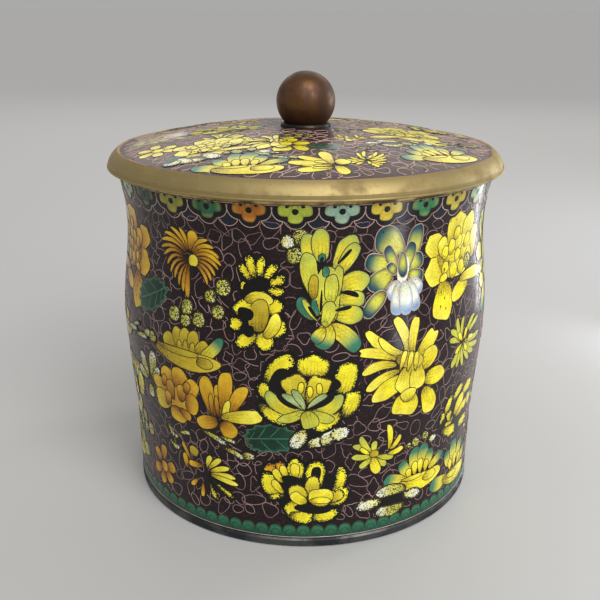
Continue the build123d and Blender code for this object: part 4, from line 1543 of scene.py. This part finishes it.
@dataclass
class CarriedNodes:
    """Finishes of the turned and spun parts."""

    def dress(self) -> None:
        """Gives every carried node its finish."""
        brass, brown = srgb(206, 184, 118), srgb(104, 84, 42)
        finishes = {
            "wall_enamel": GroundEnamel("aubergine_ground",
                                        srgb(14, 8, 11), srgb(32, 16, 20), srgb(78, 40, 44)),
            # Same aubergine enamel as the wall, painted lighter and browner: painted glare of a pale sky on
            # the dome.
            "dome_enamel": GroundEnamel("lid_ground",
                                        srgb(34, 20, 22), srgb(64, 40, 38), srgb(118, 80, 70), 0.24),
            "wall_lining": GroundEnamel("counter_enamel",
                                        srgb(30, 112, 128), srgb(52, 146, 156), srgb(110, 184, 184)),
            "floor_enamel": GroundEnamel("counter_enamel_floor", srgb(28, 106, 122), srgb(50, 140, 150),
                                         srgb(104, 178, 180)),
            "base_enamel": GroundEnamel("counter_enamel_base", srgb(32, 108, 120), srgb(58, 136, 142),
                                        srgb(20, 60, 66), 0.34),
            "dome_lining": GroundEnamel("counter_enamel_dome", srgb(30, 110, 126), srgb(54, 146, 154),
                                        srgb(112, 186, 186)),
            "wall_shell": TurnedMetal("copper", srgb(190, 112, 74), srgb(92, 50, 34)),
            "dome_shell": TurnedMetal("copper_dome", srgb(190, 112, 74), srgb(92, 50, 34)),
            "base_plate": TurnedMetal("copper_base", srgb(180, 106, 70), srgb(84, 48, 34)),
            "foot_ring": TurnedMetal("foot_metal", srgb(96, 98, 96), srgb(34, 38, 42), 0.34, 0.65),
            "mouth_ring": TurnedMetal("mouth_metal", brass, brown, 0.34, 0.5),
            "lid_rim": TurnedMetal("rim_brass", srgb(172, 154, 106), srgb(142, 122, 78), 0.5, 0.3, 4200.0),
            "lid_flange": TurnedMetal("flange_brass", brass, brown, 0.36, 0.4),
            "knob_collar": TurnedMetal("collar_bronze", srgb(92, 80, 60), srgb(28, 24, 20), 0.26, 0.7),
            "knob_ball": TurnedMetal("knob_bronze", srgb(122, 88, 60), srgb(74, 48, 32), 0.28, 0.5, 1200.0),
            "knob_stud": TurnedMetal("stud_brass", brass, brown),
            "knob_washer": TurnedMetal("washer_brass", brass, brown),
            "knob_nut": TurnedMetal("nut_brass", brass, brown),
        }
        for node, finish in finishes.items():
            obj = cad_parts[node]
            material = finish.material()
            if not obj.material_slots:
                obj.data.materials.append(None)
            for slot in obj.material_slots:
                slot.material = material
            log.info("%s dressed in %s", node, finish.name)


@dataclass
class Studio:
    """Pale floor, soft light and the camera."""

    eye: tuple[float, float, float] = (0.0, -0.3095, 0.1714)
    pitch: float = -18.87
    yaw: float = 0.323
    roll: float = 0.245
    lens: float = 51.6
    floor_side: float = 40.0
    floor_colour: Colour = (0.46, 0.456, 0.45)
    sun_way: Colour = (-0.25, 0.75, -1.0)
    sun_strength: float = 1.8
    sun_angle: float = 50
    room: Colour = (0.9, 0.895, 0.885)
    room_strength: float = 0.45
    lamps: tuple[tuple, ...] = (
        ("key_window", (0.5, -0.75, 0.7), (0.5, 0.5), 4.2, (1.0, 0.985, 0.96)),
        ("side_window", (0.56, 0.3, 0.2), (0.14, 0.3), 1.4, (0.94, 0.97, 1.0)),
        ("low_card", (0.172, -0.14, 0.032), (0.026, 0.036), 0.032, (0.82, 0.9, 1.0)),
        ("edge_card", (0.2, 0.13, 0.035), (0.03, 0.05), 0.03, (0.95, 0.97, 1.0)),
        ("back_panel", (0.1, 1.1, 0.72), (1.3, 0.6), 2.6, (1.0, 0.97, 0.92)))

    def build(self) -> None:
        """Sets the whole stage."""
        self._floor()
        for lamp in self.lamps:
            self._lamp(*lamp)
        self._sky()
        bpy.context.scene.view_settings.view_transform = "Standard"
        self._camera()

    def _sky(self) -> None:
        """A broad even light from above and a pale room all round."""
        sun = bpy.data.lights.new("soft_sky", "SUN")
        sun.energy, sun.angle = self.sun_strength, math.radians(self.sun_angle)
        sky = bpy.data.objects.new("soft_sky", sun)
        sky.rotation_euler = Vector(self.sun_way).to_track_quat("-Z", "Y").to_euler()
        bpy.context.scene.collection.objects.link(sky)
        world = bpy.data.worlds.new("room")
        world.use_nodes = True
        room = world.node_tree.nodes["Background"].inputs
        room["Color"].default_value = (*self.room, 1)
        room["Strength"].default_value = self.room_strength
        bpy.context.scene.world = world

    def _floor(self) -> None:
        """A plain pale floor."""
        mesh = bpy.data.meshes.new("floor")
        side = self.floor_side
        corners = [(-side, -side, 0), (side, -side, 0), (side, side, 0), (-side, side, 0)]
        mesh.from_pydata(corners, [], [(0, 1, 2, 3)])
        floor = bpy.data.objects.new("floor", mesh)
        bpy.context.scene.collection.objects.link(floor)
        shader = Shader("pale_floor")
        shader.set(Base_Color=(*self.floor_colour, 1.0), Roughness=0.6)
        floor.data.materials.append(shader.material)

    @staticmethod
    def _lamp(name: str, place: tuple, size: tuple, power: float, colour: Colour) -> None:
        """A soft rectangular lamp aimed at the jar's middle.

        Args:
            name: the lamp's name.
            place: where it stands, in metres.
            size: its two sides, in metres.
            power: watts.
            colour: its colour.
        """
        light = bpy.data.lights.new(name, "AREA")
        light.shape = "RECTANGLE"
        light.size, light.size_y = size
        light.energy = power
        light.color = colour
        lamp = bpy.data.objects.new(name, light)
        lamp.location = place
        lamp.rotation_euler = (Vector((0, 0, 0.07)) - Vector(place)).to_track_quat("-Z", "Y").to_euler()
        lamp.visible_camera = False
        bpy.context.scene.collection.objects.link(lamp)

    def _camera(self) -> None:
        """The camera in front of the jar, above it and looking down."""
        data = bpy.data.cameras.new("camera")
        data.lens = self.lens
        data.sensor_width = 36.0
        data.clip_start = 0.01
        camera = bpy.data.objects.new("camera", data)
        turn = (Matrix.Rotation(math.radians(self.yaw), 4, "Z")
                @ Matrix.Rotation(math.radians(90 + self.pitch), 4, "X")
                @ Matrix.Rotation(math.radians(self.roll), 4, "Z"))
        camera.matrix_world = Matrix.Translation(self.eye) @ turn
        bpy.context.scene.collection.objects.link(camera)
        bpy.context.scene.camera = camera


def wall_ground(rng: random.Random) -> Optional[Point]:
    """A random point of the wall's ground, in flat mm."""
    return rng.uniform(-180, 180) * ARC, rng.uniform(10.5, 109.5)


def lid_ground(rng: random.Random) -> Optional[Point]:
    """A random point of the lid's ground, in mm from above."""
    x, y = rng.uniform(-64, 64), rng.uniform(-64, 64)
    return (x, y) if 12.5 < math.hypot(x, y) < 63 else None


def main() -> None:
    """Builds the looks in order."""
    logging.basicConfig(level=logging.INFO, format="%(name)s %(message)s")
    CarriedNodes().dress()
    finishes = Finishes(
        FiredEnamel().material(),
        # The same copper in three tones: dark brown in the flowers is partly oxidised copper and partly
        # painted shade, pale pink on the ground and at the edges is painted reflection.
        WireMetal("petal_wire", srgb(84, 62, 28), srgb(34, 24, 12)).material(),
        WireMetal("ground_wire", srgb(184, 150, 144), srgb(100, 74, 72), metallic=0.25).material(),
        WireMetal("edging_wire", srgb(222, 192, 178), srgb(168, 132, 118), metallic=0.25).material(),
    )
    wires, rings = wire_tree(), ring_tree()
    wall, dome = Wall(), Dome()
    zones = tuple((name, low * ARC, high * ARC) for name, low, high in (
        ("back_left", -181, -90), ("left", -90, 0), ("right", 0, 90), ("back_right", 90, 181)))
    jar = Garden(wall, "jar", finishes)
    for flower, degrees, height, turn, flip, *autumn in ROUND:
        season = Season.AUTUMN if autumn else Season.SAME
        jar.plant(flower.placed(degrees * ARC, height, turn, flip, paints=season.value))
    for flower in FRONT:
        jar.plant(flower)
    jar.wires(zones, wires)
    jar.scrolls(zones, wall_ground, 16000, 3.9, wires, 11, 0.00014, finishes.ground_wire)
    HeadBorder(wall, finishes).build(rings, wires)
    ScaleBorder(wall, finishes).build(rings, wires)
    BandWires(wall, finishes).build(wires)
    lid = Garden(dome, "lid", finishes)
    for flower, x, y, turn, flip, grow in ON_LID:
        lid.plant(flower.placed(x, y, turn, flip, grow, Season.SUMMER.value))
    whole = (("all", -80.0, 80.0),)
    lid.wires(whole, wires)
    lid.scrolls(whole, lid_ground, 6000, 4.0, wires, 23, 0.00017, finishes.edging_painted_reflection)
    Studio().build()


if __name__ == "__main__":
    main()
